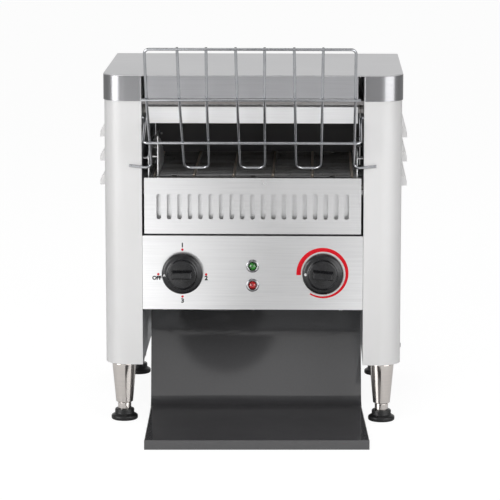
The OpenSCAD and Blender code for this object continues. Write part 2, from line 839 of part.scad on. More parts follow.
// The lower, sloping guide that narrows the belt on the left
module inner_guide() {
    low = belt_top + guide_gap;
    inset = 11;
    x = belt_w / 2 - inset;
    front = 18;
    knee = 70;               // depth where the upper edge starts to fall faster
    rear = 150;
    front_h = 49;
    knee_h = 40;
    rear_h = 12;
    ear_w = 12;
    ear_rise = 20;
    ear_in = 16;             // distance of the front ear behind the guide's front
    translate([x, 0, 0]) upright() linear_extrude(sheet_t) polygon([
        [front, low], [front, low + front_h], [knee, low + knee_h], [rear, low + rear_h],
        [rear, low]
    ]);
    for (y = [front + ear_in, rear - 2.5 * ear_w]) translate([x, y, low + ear_rise + sheet_t])
        cube([inset + 3 * sheet_t, ear_w, sheet_t]);
}

module bread_guides() in_machine() color("silver") {
    for (side = [-1, 1]) on_side(side) bread_guide();
    on_side(-1) inner_guide();
}

// Drive train

// The loop runs from the rear shaft down to the motor
module chain_frame() translate([chain_x, drive_y, belt_z]) upright() rotate(180 + chain_fall)
    children();

module drive_chain() in_machine() color("dimgray") chain_frame() {
    link_t = 1;
    link_h = 5;
    for (i = [0 : 2 * chain_run + chain_teeth - 1]) {
        p = loop_point(i, chain_run, chain_teeth, chain_pitch, chain_r);
        translate([p[0], p[1], 0]) cylinder(d = roller_d, h = chain_w, center = true, $fn = 16);
    }
    for (side = [-1, 1]) translate([0, 0, side * (chain_w - link_t) / 2])
        linear_extrude(link_t, center = true)
            loop_ring(chain_run, chain_pitch, chain_r, link_h);
}

module small_wheel(bore) pin_wheel(chain_teeth, chain_r, roller_d, 3, bore + 2 * press, 1);

module chain_wheel() in_machine() color("gray") chain_frame() small_wheel(shaft_d);

module motor_chain_wheel() in_machine() color("gray") chain_frame()
    translate([chain_run * chain_pitch, 0, 0]) small_wheel(motor_shaft_d);

module motor_output_shaft() in_machine() color("silver") {
    inside = gearbox_l - 8;
    wheel_side = 8;
    translate([opening_x - inside, motor_y, motor_z]) rotate([0, 90, 0])
        cylinder(d = motor_shaft_d, h = inside + chain_off + wheel_side);
}

module gearbox() in_machine() color("lightslategray") {
    difference() {
        translate([opening_x - side_gap - gearbox_l, motor_y - gearbox_w / 2,
                   motor_z - gearbox_w / 2])
            cube([gearbox_l, gearbox_w, gearbox_w]);
        translate([opening_x - gearbox_l + 7.5, motor_y, motor_z]) rotate([0, 90, 0])
            cylinder(d = motor_shaft_d + 2 * running, h = gearbox_l);
    }
}

module drive_motor() in_machine() color("dimgray") {
    boss = 4;
    translate([opening_x - side_gap - gearbox_l - motor_l, motor_y, motor_z])
        rotate([0, 90, 0]) {
            cylinder(d = motor_d, h = motor_l);
            translate([0, 0, -boss]) cylinder(d = motor_d - 14, h = boss + cut);
        }
}

// Fan

module at_fan(z) translate([-fan_x, fan_y, z]) children();

module fan_frame() in_machine() color("black") at_fan(fan_z) {
    hole_x = fan_w / 2 - 7.5;
    strut_w = 5;
    strut_x = 17;
    difference() {
        translate([-fan_w / 2, -fan_w / 2, 0]) cube([fan_w, fan_w, fan_h]);
        translate([0, 0, -cut]) cylinder(d = fan_hole_d, h = fan_h + 2 * cut, $fn = 96);
        for (x = [-1, 1], y = [-1, 1]) translate([x * hole_x, y * hole_x, -cut])
            cylinder(d = 4.3, h = fan_h + 2 * cut);
    }
    cylinder(d = fan_hub_d - 2, h = fan_base_h);
    cylinder(d = fan_pin_d, h = fan_h - 1);
    for (a = [45 : 90 : 315]) rotate(a) translate([strut_x, -strut_w / 2, 0])
        cube([fan_hole_d / 2 - strut_x + 1, strut_w, fan_base_h - 1]);
}

module fan_impeller() in_machine() color("black") at_fan(fan_z) {
    low = fan_base_h + 0.4;
    chord = 28;
    blade_t = 1.8;
    difference() {
        translate([0, 0, low]) cylinder(d = fan_hub_d, h = fan_h - low);
        translate([0, 0, low - cut])
            cylinder(d = fan_pin_d + 2 * running, h = fan_h + cut - low - running);
    }
    intersection() {
        for (i = [0 : fan_blades - 1]) rotate(i * 360 / fan_blades)
            translate([fan_hub_d / 2 - 2, 0, fan_h / 2 + 2.4]) rotate([28, 0, 0])
                translate([0, -chord / 2, -blade_t / 2])
                    cube([fan_hole_d / 2, chord, blade_t]);
        translate([0, 0, low]) cylinder(d = fan_hole_d - 3, h = fan_h - 0.6 - low, $fn = 96);
    }
}

module fan_guard() in_machine() color("silver") at_fan(panel_z + panel_t) {
    w = 2;
    first_r = 22;            // the guard's rings
    last_r = 55;
    ring_step = 11;
    ring_z = -3.8;
    spoke_z = -2.4;
    cap_d = 24;
    cap_z = -5;
    cap_t = 3;
    lug_d = 7;
    lug_r = (fan_y - panel_fold - lug_d / 2 - seat) * sqrt(2);
    lug_h = 4;
    for (r = [first_r : ring_step : last_r]) translate([0, 0, ring_z])
        rotate_extrude($fn = 64) translate([r, 0]) circle(d = w, $fn = 16);
    translate([0, 0, cap_z]) cylinder(d = cap_d, h = cap_t);
    for (a = [45 : 90 : 315]) rotate(a) {
        translate([0, 0, spoke_z]) rotate([0, 90, 0]) cylinder(d = w, h = lug_r, $fn = 16);
        translate([lug_r, 0, -lug_h]) cylinder(d = lug_d, h = lug_h);
    }
}

// Controls

module at_knob(side) translate([side * knob_x, 0, knob_z]) children();

module spindle_bore() depth_bar(spindle_d + 2 * running, panel_t + spindle_in + 0.5);

module element_switch() in_machine() color("ivory") at_knob(-1) difference() {
    w = 38;
    deep = 30;
    tab_w = 6.4;
    tab_l = 11;
    union() {
        translate([-w / 2, panel_t, -w / 2]) cube([w, deep, w]);
        for (i = [-1 : 2]) translate([i * 9.3 - 7.9, deep, -14]) cube([tab_w, tab_l, 1]);
    }
    spindle_bore();
}

module speed_control() in_machine() color("seagreen") at_knob(1) difference() {
    body_l = 16;
    board_w = 48;
    board_h = 40;
    board_t = 1.6;
    union() {
        translate([0, panel_t, 0]) depth_bar(28, body_l);
        translate([-board_w / 2, panel_t + body_l, -board_h / 2])
            cube([board_w, board_t, board_h]);
        translate([-20, panel_t + body_l + 1, -15]) cube([14, 12, 12]);
    }
    spindle_bore();
}

module spindle() {
    front = knob_gap + knob_disc + hub_h;
    translate([0, -front, 0]) depth_bar(spindle_d, front + panel_t + spindle_in);
}

module element_spindle() in_machine() color("silver") at_knob(-1) spindle();

module speed_spindle() in_machine() color("silver") at_knob(1) spindle();

// The grip bar narrows towards its face, mostly in its width
module grip_bar(root_y, face_y) {
    end = grip_l / 2;
    side = grip_w / 2;
    end_draft = grip_draft / 2;
    intersection() {
        linear_extrude(grip_w, center = true) polygon([
            [-end, root_y], [-end + end_draft, face_y], [end - end_draft, face_y], [end, root_y]
        ]);
        across(grip_l) polygon([
            [root_y, -side], [face_y, grip_draft - side], [face_y, side - grip_draft],
            [root_y, side]
        ]);
    }
}

module knob() {
    disc_y = -knob_gap - knob_disc;
    hub_y = disc_y - hub_h;
    cap = 0.5;               // the bore starts this far in front of the disc's hub face
    difference() {
        union() {
            translate([0, disc_y, 0]) depth_bar(knob_d, knob_disc);
            translate([0, hub_y, 0]) depth_bar(hub_d, hub_h + 1);
            grip_bar(hub_y + 1, hub_y - grip_h);
        }
        translate([0, hub_y - cap, 0])
            depth_bar(spindle_d + 2 * press, cap + hub_h + knob_disc + cut);
    }
}

module element_knob() in_machine() color("black") at_knob(-1) knob();

module speed_knob() in_machine() color("black") at_knob(1) rotate([0, speed_tilt, 0]) knob();

module at_lamps() for (i = [0, 1]) translate([0, 0, lamp_z - i * lamp_step]) children();

module lamp_rings() in_machine() color("silver") at_lamps() difference() {
    rim = 3;
    union() {
        translate([0, -rim, 0]) depth_bar(lamp_d, rim);
        depth_bar(lamp_neck_d, panel_t + lamp_neck_l);
    }
    translate([0, -rim - cut, 0])
        depth_bar(lamp_neck_d - 2 * lamp_wall, rim + panel_t + lamp_neck_l + 2 * cut);
}

module lamp_lens() {
    r = lamp_neck_d / 2 - lamp_wall - seat;
    back = 3.6;
    long = 7;
    dome_r = 1.17 * r;
    dome_in = 0.6 * r;       // the dome's centre behind the lens's shoulder
    translate([0, back, 0]) rotate([90, 0, 0]) rotate_extrude() {
        square([r, long]);
        intersection() {
            translate([0, long - dome_in]) circle(dome_r, $fn = 96);
            square([r, long + r]);
        }
    }
}

module green_lens() in_machine() color("green") translate([0, 0, lamp_z]) lamp_lens();

module red_lens() in_machine() color("red") translate([0, 0, lamp_z - lamp_step]) lamp_lens();

module lamp_bodies() in_machine() color("whitesmoke") at_lamps() {
    front = 3.8;
    rear = panel_t + lamp_neck_l;
    body_l = 20;
    tab_l = 8;
    translate([0, front, 0])
        depth_bar(lamp_neck_d - 2 * lamp_wall - 2 * seat, rear - front + 1);
    translate([0, rear, 0]) depth_bar(lamp_neck_d, body_l);
    for (z = [-3, 3]) translate([-3, rear + body_l - 1, z - 0.4]) cube([6, tab_l, 0.8]);
}

// Inner parts of the side compartments

module thermal_cutout() in_machine() color("saddlebrown")
    translate([-opening_x - chassis_t, mid_y, reflector_z - 44]) rotate([0, -90, 0]) {
        body_h = 8;
        cylinder(d = 17, h = body_h);
        translate([-12, -4, 0]) cube([24, 8, 1]);
        for (y = [-4, 4]) translate([-3, y - 0.5, body_h]) cube([6, 1, 7]);
    }

module terminal_block() in_machine() color("ivory")
    translate([-leg_x - 9, body_d - 100, base_z + plate_low_t]) difference() {
        w = 22;
        ways = 5;
        way_step = 10;
        cube([w, ways * way_step + 2, 16]);
        for (i = [0 : ways - 1]) translate([w / 2, 6 + i * way_step, 8])
            cylinder(d = 4.4, h = 8 + cut);
    }

module cord_gland() in_machine() color("black")
    translate([-gland_x, body_d, gland_z]) rotate([90, 0, 0]) difference() {
        thread_l = skin + casing_t + 6;
        nut_z = skin + casing_t;
        nut_t = 4;
        ring_l = 6.6;        // length of the dome nut that clamps the cord
        union() {
            translate([0, 0, -gland_out]) cylinder(d = gland_d - 5, h = gland_out + skin);
            cylinder(d = gland_d, h = skin, $fn = 6);
            translate([0, 0, -ring_l]) cylinder(d = gland_d, h = ring_l);
            cylinder(d = gland_neck_d, h = thread_l);
            translate([0, 0, nut_z]) cylinder(d = gland_d, h = nut_t, $fn = 6);
        }
        translate([0, 0, -gland_out - cut])
            cylinder(d = gland_bore, h = gland_out + thread_l + 2 * cut);
    }

// A pan-head screw, its head on the origin and its shank along -Z
module screw(shank) {
    cylinder(d1 = 7.6, d2 = 5, h = 2);
    translate([0, 0, -shank]) cylinder(d = screw_d, h = shank + 0.5);
}

module case_screws() in_machine() color("silver") {
    side_in = 60;            // the side screws behind the front and before the rear
    side_rear = 70;
    side_rise = 14;
    rear_in = 8;             // the rear screws beside the opening
    rear_low = 60;           // and above the casing's lower edge and below its top
    rear_high = 110;
    for (x = [-screw_x, 0, screw_x]) translate([x, screw_y, panel_z]) rotate([180, 0, 0])
        screw(panel_t + sheet_t - 2 * seat);
    for (side = [-1, 1]) on_side(side) {
        for (y = [side_in, body_d - side_rear]) translate([hood_x, y, base_z + side_rise])
            rotate([0, 90, 0]) screw(0);
        for (z = [base_z + rear_low, top_z - rear_high])
            translate([opening_x - rear_in, body_d - skin, z])
            rotate([-90, 0, 0]) screw(0);
    }
}

// Bread rack

function rack_point(x, p) = [x, p[0], p[1]];

// A pair of long wires whose lower ends join in a round end
module rack_loop(x) {
    shoulder = between(rack_low, rack_bend, 0.07);
    half_top = loop_top / 2;
    half_low = loop_low / 2;
    top = rack_top - rack_under + [-1, 1.8];   // its end stands above the top wire
    for (side = [-1, 1]) wire([
        rack_point(x + side * half_top, top),
        rack_point(x + side * between(half_low, half_top, 0.55), rack_bend),
        rack_point(x + side * half_low, shoulder),
        rack_point(x + side * (half_low - 4), between(rack_low, shoulder, 0.35)),
        rack_point(x + side * (half_low - 9), rack_low),
        rack_point(x, rack_low)
    ], rack_wire);
}

module bread_rack() in_machine() color("lightgray") {
    rest_y = skin - rack_wire / 2 - foot_clear;   // the side wires rest before the casings
    arm_x = opening_x - wire_gap / 2 - 0.8;
    arm = between(rack_low, rack_bend, rack_cross) + rack_under;
    for (i = [-1 : 1]) rack_loop(i * loop_step);
    for (side = [-1, 1]) on_side(side) {
        wire([
            rack_point(0, rack_top), rack_point(outer_x - 6, rack_top),
            rack_point(outer_x, rack_top - [-3, 5.2]), rack_point(outer_x, rack_bend),
            rack_point(outer_x, [rest_y, rack_low_z + 6]),
            rack_point(outer_x + 5, [rest_y, rack_low_z + 1]),
            rack_point(opening_x + 15, [rest_y, rack_low_z + 3])
        ], rack_wire);
        wire([
            rack_point(0, arm), rack_point(arm_x - 4, arm), rack_point(arm_x, arm + [3, 2]),
            rack_point(arm_x, [hinge_y, hinge_z]),
            rack_point(opening_x + chassis_t + 3, [hinge_y, hinge_z])
        ], rack_wire);
    }
    translate(rack_point(0, rack_bend + rack_under)) cross_bar(rack_wire, opening_w - 12);
}

// Discharge

module inner_chute() in_machine() color("gray") {
    rear = body_d - skin - casing_t - sheet_t / 2 - seat;
    lip = [tray_top_y - 3, tray_top_z + 4];
    slope = 38;
    r = 50;
    wall_h = 12;
    // the bend starts on the straight run that rises from the lip at the slope
    bend_y = rear - r + r * sin(slope);
    bend = [bend_y, lip[1] + (bend_y - lip[0]) * tan(slope)];
    centre = [rear - r, bend[1] + r * cos(slope)];
    across(inner_w) {
        bent([lip, bend + lap * [cos(slope), sin(slope)]], sheet_t);
        sheet_bend(centre, r, sheet_t, slope - 90, 0);
        bent([[rear, centre[1] - lap], [rear, centre[1] + wall_h]], sheet_t);
    }
}

module tray_section() {
    h = sheet_t / 2;
    rise = atan2(tray_top_z, tray_top_y - tray_bend);
    centre = [tray_bend - tray_r * tan(rise / 2), tray_r + h];
    along = [cos(rise), sin(rise)];
    bend = centre + tray_r * [sin(rise), -cos(rise)];
    bent([[h - tray_reach, tray_lip], [h - tray_reach, h], [centre[0] + lap, h]], sheet_t);
    sheet_bend(centre, tray_r, sheet_t, -90, rise - 90);
    bent([bend - lap * along, bend + (tray_top_z - bend[1]) / sin(rise) * along], sheet_t);
}

// The sloping side of the tray: a flat triangle that leans out over the floor's edge
module tray_flange() {
    front = 1 - tray_reach;
    run = tray_flange_y - front;
    rise = tray_lip - 1;
    root_x = tray_w / 2 - tray_taper - 0.9;
    translate([root_x, front, sheet_t / 2]) rotate([0, 0, -atan2(tray_taper, run)])
        rotate([0, atan2(tray_taper, rise), 0]) across(sheet_t)
            polygon([[0, 0], [norm([run, tray_taper]), 0], [0, norm([rise, tray_taper])]]);
}

// What the floor loses beside a flange
module tray_floor_cut() {
    front = sheet_t - tray_reach;
    side = tray_w / 2;
    translate([0, 0, -cut]) linear_extrude(cut + 3 * sheet_t) polygon([
        [side - tray_taper, front], [side, tray_flange_y], [side + cut, tray_flange_y],
        [side + cut, front]
    ]);
}

module discharge_tray() in_machine() color("#3a3a3c")
    translate([tray_x, tray_top_y, 0]) rotate(tray_turn) translate([0, -tray_top_y, 0]) {
        difference() {
            across(tray_w) tray_section();
            for (side = [-1, 1]) on_side(side) tray_floor_cut();
        }
        for (side = [-1, 1]) on_side(side) tray_flange();
    }

// Legs and feet

module at_legs() for (side = [-1, 1], y = leg_ys) translate([side * leg_x, y, 0]) children();

module legs() in_machine() color("silver") at_legs() difference() {
    thread_end = 3;
    union() {
        translate([0, 0, leg_z]) cylinder(d1 = leg_low_d, d2 = leg_top_d, h = base_z - leg_z);
        translate([0, 0, base_z - cut])
            cylinder(d = foot_stud_d, h = cut + plate_low_t + nut_h + thread_end - 1);
    }
    translate([0, 0, leg_z - cut])
        cylinder(d = foot_stud_d + 2 * running, h = cut + foot_stud_l + 2);
}

module leg_nuts() in_machine() color("gray") at_legs()
    translate([0, 0, base_z + plate_low_t]) difference() {
        cylinder(d = foot_stud_d * 1.8, h = nut_h, $fn = 6);
        translate([0, 0, -cut]) cylinder(d = foot_stud_d + 2 * seat, h = nut_h + 2 * cut);
    }

// A disc and a low cone, a neck under the leg and a screw inside it
module foot() {
    cone_d = foot_d - 12.5;
    neck_d = foot_d / 2;
    cylinder(d = foot_d, h = foot_disc);
    translate([0, 0, foot_disc]) cylinder(d1 = foot_d, d2 = cone_d, h = foot_h - foot_disc);
    translate([0, 0, foot_h]) cylinder(d = neck_d, h = leg_z - foot_h - foot_clear);
    translate([0, 0, foot_h]) cylinder(d = foot_stud_d, h = leg_z - foot_h + foot_stud_l);
}

module placed_foot(side, i) in_machine() color("black")
    translate([side * leg_x, leg_ys[i], 0]) foot();

module front_left_foot() placed_foot(-1, 0);
module front_right_foot() placed_foot(1, 0);
module rear_left_foot() placed_foot(-1, 1);
module rear_right_foot() placed_foot(1, 1);

left_side_casing();
right_side_casing();
top_bands();
top_cover();
front_lip();
left_side_plate();
right_side_plate();
base_plates();
rear_panel();
rear_crossbar();
control_panel();
control_box();
vented_front_panel();
slot_shield();
upper_front_shield();
upper_reflector();
lower_reflector();
upper_heaters();
lower_heaters();
heater_end_caps();
conveyor_belt();
drive_shaft();
drive_sprockets();
chain_wheel();
idler_shaft();
idler_sprockets();
shaft_bushes();
belt_support();
bread_guides();
drive_chain();
motor_chain_wheel();
motor_output_shaft();
drive_motor();
gearbox();
fan_frame();
fan_impeller();
fan_guard();
element_switch();
element_spindle();
element_knob();
speed_control();
speed_spindle();
speed_knob();
lamp_rings();
lamp_bodies();
green_lens();
red_lens();
thermal_cutout();
terminal_block();
cord_gland();
bread_rack();
discharge_tray();
inner_chute();
legs();
leg_nuts();
front_left_foot();
front_right_foot();
rear_left_foot();
rear_right_foot();
case_screws();
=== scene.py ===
import math

import bmesh
import bpy
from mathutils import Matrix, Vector


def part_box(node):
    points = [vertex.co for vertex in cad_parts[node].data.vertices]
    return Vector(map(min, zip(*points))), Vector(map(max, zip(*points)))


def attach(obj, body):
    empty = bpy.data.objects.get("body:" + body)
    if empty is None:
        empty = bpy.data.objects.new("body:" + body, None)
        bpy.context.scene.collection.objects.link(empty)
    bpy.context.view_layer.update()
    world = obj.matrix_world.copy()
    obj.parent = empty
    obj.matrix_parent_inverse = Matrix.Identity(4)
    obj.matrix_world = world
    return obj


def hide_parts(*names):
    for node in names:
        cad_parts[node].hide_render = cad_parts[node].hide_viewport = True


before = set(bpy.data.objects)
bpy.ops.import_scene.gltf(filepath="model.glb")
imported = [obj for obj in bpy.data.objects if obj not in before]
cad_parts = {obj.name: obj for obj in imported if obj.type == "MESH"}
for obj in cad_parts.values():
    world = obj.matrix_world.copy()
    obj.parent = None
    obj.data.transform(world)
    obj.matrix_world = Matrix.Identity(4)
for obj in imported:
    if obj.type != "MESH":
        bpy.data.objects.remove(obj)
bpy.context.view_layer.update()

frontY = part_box("top_cover")[0].y * 1000  # the front trim's plane; sizes below are in millimetres
hair = 1e-6  # metres: points nearer than this count as one


# Making tools

def at(x, depth, z):  # a point of the machine: from its middle, behind the front trim, above the counter
    return Vector((x, depth + frontY, z)) / 1000


def clearSelection():
    if bpy.context.mode != "OBJECT":
        bpy.ops.object.mode_set(mode="OBJECT")
    bpy.ops.object.select_all(action="DESELECT")


def activate(piece):
    clearSelection()
    piece.select_set(True)
    bpy.context.view_layer.objects.active = piece


def pick(piece, kind, test=None):  # opens the piece for editing with what passes the test selected
    activate(piece)
    bpy.ops.object.mode_set(mode="EDIT")
    bpy.ops.mesh.select_mode(type=kind)
    bpy.ops.mesh.select_all(action="SELECT" if test is None else "DESELECT")
    if test is not None:
        mesh = bmesh.from_edit_mesh(piece.data)
        parts = {"VERT": mesh.verts, "EDGE": mesh.edges, "FACE": mesh.faces}[kind]
        for part in parts:
            if test(part):
                part.select_set(True)
        mesh.select_flush_mode()
        bmesh.update_edit_mesh(piece.data)


def settle(piece, name):  # the finished place goes into the mesh
    activate(piece)
    bpy.ops.object.transform_apply(location=True, rotation=True, scale=True)
    piece.name = name
    piece.data.name = name
    return piece


def tidyNormals(piece, gap=hair):
    pick(piece, "VERT")
    bpy.ops.mesh.remove_doubles(threshold=gap)
    bpy.ops.mesh.normals_make_consistent(inside=False)
    bpy.ops.object.mode_set(mode="OBJECT")


def modify(piece, kind, **settings):
    activate(piece)
    bpy.ops.object.modifier_add(type=kind)
    modifier = piece.modifiers[-1]
    for setting, value in settings.items():
        setattr(modifier, setting, value)
    bpy.ops.object.modifier_apply(modifier=modifier.name)


def softenEdges(piece, width, segments=2, angle=35):
    modify(piece, "BEVEL", width=width / 1000, segments=segments, limit_method="ANGLE",
           angle_limit=math.radians(angle))
    smooth(piece)


def smooth(piece, angle=35):
    activate(piece)
    bpy.ops.object.shade_smooth_by_angle(angle=math.radians(angle))


def spanOf(edge, axis):  # how far an edge reaches along an axis
    return abs((edge.verts[0].co - edge.verts[1].co)[axis]) * 1000


def block(name, low, high):
    clearSelection()
    bpy.ops.mesh.primitive_cube_add(size=1, location=(low + high) / 2)
    piece = bpy.context.object
    piece.scale = high - low
    return settle(piece, name)


def roundBar(name, start, end, radius, sides=32):  # a round bar between two points
    clearSelection()
    along = end - start
    bpy.ops.mesh.primitive_cylinder_add(
        vertices=sides, radius=radius / 1000, depth=along.length, location=(start + end) / 2,
        rotation=along.to_track_quat("Z", "Y").to_euler())
    return settle(bpy.context.object, name)


def layPath(name, points):  # a chain of edges, drawn by extruding one vertex
    clearSelection()
    bpy.ops.mesh.primitive_plane_add(size=0.001, location=points[0])
    path = bpy.context.object
    bpy.ops.object.mode_set(mode="EDIT")
    bpy.ops.mesh.select_mode(type="VERT")
    bpy.ops.mesh.select_all(action="SELECT")
    bpy.ops.mesh.merge(type="CENTER")
    for here, there in zip(points, points[1:]):
        bpy.ops.mesh.extrude_region_move(TRANSFORM_OT_translate={"value": there - here})
    bpy.ops.object.mode_set(mode="OBJECT")
    return settle(path, name)


def roundBends(path, points, radii, segments=6):  # fillets the inner corners of a path
    for i in range(1, len(points) - 1):
        radius = radii[i - 1] if isinstance(radii, (list, tuple)) else radii
        if not radius:
            continue
        turn = (points[i] - points[i - 1]).angle(points[i + 1] - points[i])
        pick(path, "VERT", lambda v: (v.co - points[i]).length < hair)
        bpy.ops.mesh.bevel(affect="VERTICES", offset_type="OFFSET",
                           offset=radius / 1000 * math.tan(turn / 2), segments=segments)
    bpy.ops.object.mode_set(mode="OBJECT")


def foldSheet(name, line, width, thickness, radii):  # a bent sheet, its middle line as (depth, z)
    points = [at(-width / 2, depth, z) for depth, z in line]
    sheet = layPath(name, points)
    roundBends(sheet, points, radii)
    pick(sheet, "EDGE")
    bpy.ops.mesh.extrude_region_move(TRANSFORM_OT_translate={"value": (width / 1000, 0, 0)})
    bpy.ops.object.mode_set(mode="OBJECT")
    modify(sheet, "SOLIDIFY", thickness=thickness / 1000, offset=0, use_even_offset=True)
    tidyNormals(sheet)
    return sheet


def bendWire(name, points, radius, bend, sides, segments):  # a round wire along a path with filleted corners
    wire = layPath(name, points)
    roundBends(wire, points, bend, segments)
    activate(wire)
    bpy.ops.object.convert(target="CURVE")
    wire.data.bevel_depth = radius / 1000
    wire.data.bevel_resolution = sides // 4 - 1
    wire.data.use_fill_caps = True
    bpy.ops.object.convert(target="MESH")
    tidyNormals(wire)
    smooth(wire, 50)
    return bpy.context.object


def turnProfile(name, profile, centre, axis, steps=64):  # spins (radius, along) points round an axis
    side = Vector((1, 0, 0)) if abs(axis.x) < 0.5 else Vector((0, 0, 1))
    path = layPath(name, [centre + (side * r + axis * h) / 1000 for r, h in profile])
    pick(path, "VERT")
    bpy.ops.mesh.spin(steps=steps, angle=math.tau, center=centre, axis=axis, use_auto_merge=True)
    bpy.ops.object.mode_set(mode="OBJECT")
    tidyNormals(path, 2 * hair)
    return path


def cutAway(piece, *cutters):  # the cutters are used up
    for cutter in cutters:
        modify(piece, "BOOLEAN", object=cutter, operation="DIFFERENCE", solver="EXACT")
        bpy.data.objects.remove(cutter)


def another(piece, shift=(0, 0, 0)):  # a copy with its own mesh
    activate(piece)
    bpy.ops.object.duplicate(linked=False)
    copy = bpy.context.object
    copy.location = Vector(shift) / 1000
    return settle(copy, piece.name + "Copy")


def mirrored(piece, name):  # a copy on the machine's other side
    copy = another(piece)
    copy.scale.x = -1
    settle(copy, name)
    tidyNormals(copy)
    return copy


def together(name, *pieces):
    activate(pieces[0])
    for piece in pieces:
        piece.select_set(True)
    bpy.ops.object.join()
    joined = bpy.context.object
    joined.name = name
    joined.data.name = name
    return joined


def likeNode(name, node):  # a copy of a solid with softened edges
    clearSelection()
    piece = bpy.data.objects.new(name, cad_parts[node].data.copy())
    bpy.context.scene.collection.objects.link(piece)
    activate(piece)
    bpy.ops.mesh.customdata_custom_splitnormals_clear()
    pick(piece, "VERT")
    bpy.ops.mesh.remove_doubles(threshold=2 * hair)
    bpy.ops.mesh.dissolve_limited(angle_limit=math.radians(0.4))
    bpy.ops.object.mode_set(mode="OBJECT")
    softenEdges(piece, 0.25)
    return piece


def hand(piece, body, slotName, material, *nodes):  # the piece joins its body in place of the nodes
    modify(piece, "WEIGHTED_NORMAL", keep_sharp=True)
    clearSelection()
    piece.data.materials.clear()
    piece.data.materials.append(material)
    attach(piece, body)
    if nodes:
        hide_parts(*nodes)
    return piece


# Material tools

def shaderOf(material):
    return material.node_tree.nodes["Principled BSDF"]


def newFinish(name, colour, metal, rough, **sockets):
    material = bpy.data.materials.new(name)
    material.use_nodes = True
    shader = shaderOf(material)
    shader.inputs["Base Color"].default_value = (*colour, 1)
    shader.inputs["Metallic"].default_value = metal
    shader.inputs["Roughness"].default_value = rough
    for socket, value in sockets.items():
        shader.inputs[socket.replace("_", " ")].default_value = value
    return material


def addNode(material, kind, settings=(), links=()):
    node = material.node_tree.nodes.new(kind)
    for name, value in dict(settings).items():
        if isinstance(name, int) or name in node.inputs:
            node.inputs[name].default_value = value
        else:
            setattr(node, name, value)
    for name, socket in dict(links).items():
        material.node_tree.links.new(socket, node.inputs[name])
    return node


def objectPlace(material, scale=(1, 1, 1), shift=(0, 0, 0)):
    coordinates = addNode(material, "ShaderNodeTexCoord")
    mapping = addNode(material, "ShaderNodeMapping", {"Scale": scale, "Location": shift},
                      {"Vector": coordinates.outputs["Object"]})
    return mapping.outputs["Vector"]


def noiseOf(material, scale, detail=3, rough=0.5):  # scale per metre, one number or one for each axis
    stretch = scale if isinstance(scale, tuple) else (scale, scale, scale)
    return addNode(material, "ShaderNodeTexNoise", {"Scale": 1, "Detail": detail, "Roughness": rough},
                   {"Vector": objectPlace(material, stretch)}).outputs["Fac"]


def mapRange(tree, value, low, high, toLow, toHigh):
    node = tree.nodes.new("ShaderNodeMapRange")
    for name, number in (("From Min", low), ("From Max", high), ("To Min", toLow), ("To Max", toHigh)):
        node.inputs[name].default_value = number
    tree.links.new(value, node.inputs["Value"])
    return node.outputs["Result"]


def tint(material, value, other, low=0.35, high=0.65, amount=1.0):  # mixes another colour in by value
    tree = material.node_tree
    socket = shaderOf(material).inputs["Base Color"]
    mix = addNode(material, "ShaderNodeMix", {"data_type": "RGBA"})
    mix.inputs[6].default_value = socket.default_value
    if socket.is_linked:
        tree.links.new(socket.links[0].from_socket, mix.inputs[6])
    mix.inputs[7].default_value = (*other, 1)
    tree.links.new(mapRange(tree, value, low, high, 0, amount), mix.inputs[0])
    tree.links.new(mix.outputs[2], socket)


def roughen(material, value, rough, swing):
    tree = material.node_tree
    tree.links.new(mapRange(tree, value, 0.3, 0.7, rough - swing, rough + swing),
                   shaderOf(material).inputs["Roughness"])


def emboss(material, value, height):  # height in millimetres
    bump = addNode(material, "ShaderNodeBump", {"Distance": height / 1000}, {"Height": value})
    material.node_tree.links.new(bump.outputs["Normal"], shaderOf(material).inputs["Normal"])


# Patches of another colour, with duller spots given as (scale, swing) and a grain given as (scale, height)
def patchy(name, colour, metal, rough, other, scale, detail=3, blend=(0.35, 0.65), dull=None, grain=None,
           **sockets):
    finish = newFinish(name, colour, metal, rough, **sockets)
    tint(finish, noiseOf(finish, scale, detail), other, *blend)
    if dull:
        roughen(finish, noiseOf(finish, dull[0]), rough, dull[1])
    if grain:
        emboss(finish, noiseOf(finish, grain[0]), grain[1])
    return finish


def brushed(material, rough, along="x", swing=0.02, fine=800, depth=0.0005):  # fine lines and cloudy smears
    long = 14
    grain = noiseOf(material, {"x": (long, fine, fine), "y": (fine, long, fine)}[along], 2, 0.6)
    cloud = noiseOf(material, 9, 3)
    colour = tuple(shaderOf(material).inputs["Base Color"].default_value)[:3]
    tint(material, grain, tuple(c * 0.88 for c in colour), 0.35, 0.7, 0.8)
    tint(material, cloud, tuple(c * 0.98 for c in colour), 0.3, 0.8)
    roughen(material, cloud, rough, swing)
    emboss(material, grain, depth)


def brushedSteel(name, colour, rough, **settings):
    steel = newFinish(name, colour, 1, rough)
    brushed(steel, rough, **settings)
    return steel


def casingPaint():
    paint = newFinish("casingPaint", (0.79, 0.785, 0.785), 0, 0.32, Specular_IOR_Level=0.4)
    tint(paint, noiseOf(paint, 11), (0.765, 0.76, 0.755), 0.4, 0.75)
    roughen(paint, noiseOf(paint, 25), 0.32, 0.04)
    emboss(paint, noiseOf(paint, 900, 2), 0.01)
    return paint


def rearPaintShadedInside():  # the rear panel's inner face is painted dark: painted shade for the dim bread tunnel
    paint = casingPaint()
    paint.name = "rearPaintShadedInside"
    middle = (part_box("rear_panel")[0].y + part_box("rear_panel")[1].y) / 2
    depth = addNode(paint, "ShaderNodeSeparateXYZ", links={"Vector": objectPlace(paint)}).outputs["Y"]
    tint(paint, depth, (0.13, 0.127, 0.126), middle + 0.0001, middle - 0.0001)
    return paint


# painted shade: this stainless is made much darker than the other steel, for the dim reflection on the bands'
# flat fronts
def bandSteel():
    return brushedSteel("bandSteel", (0.34, 0.34, 0.35), 0.27, swing=0.03, depth=0.001)


def coverSteel():
    return brushedSteel("coverSteel", (0.64, 0.64, 0.65), 0.45)


# painted shade: the lip's stainless is a darker copy of the same steel, for the dim reflection it shows
def lipSteel():
    return brushedSteel("lipSteel", (0.41, 0.41, 0.425), 0.42)


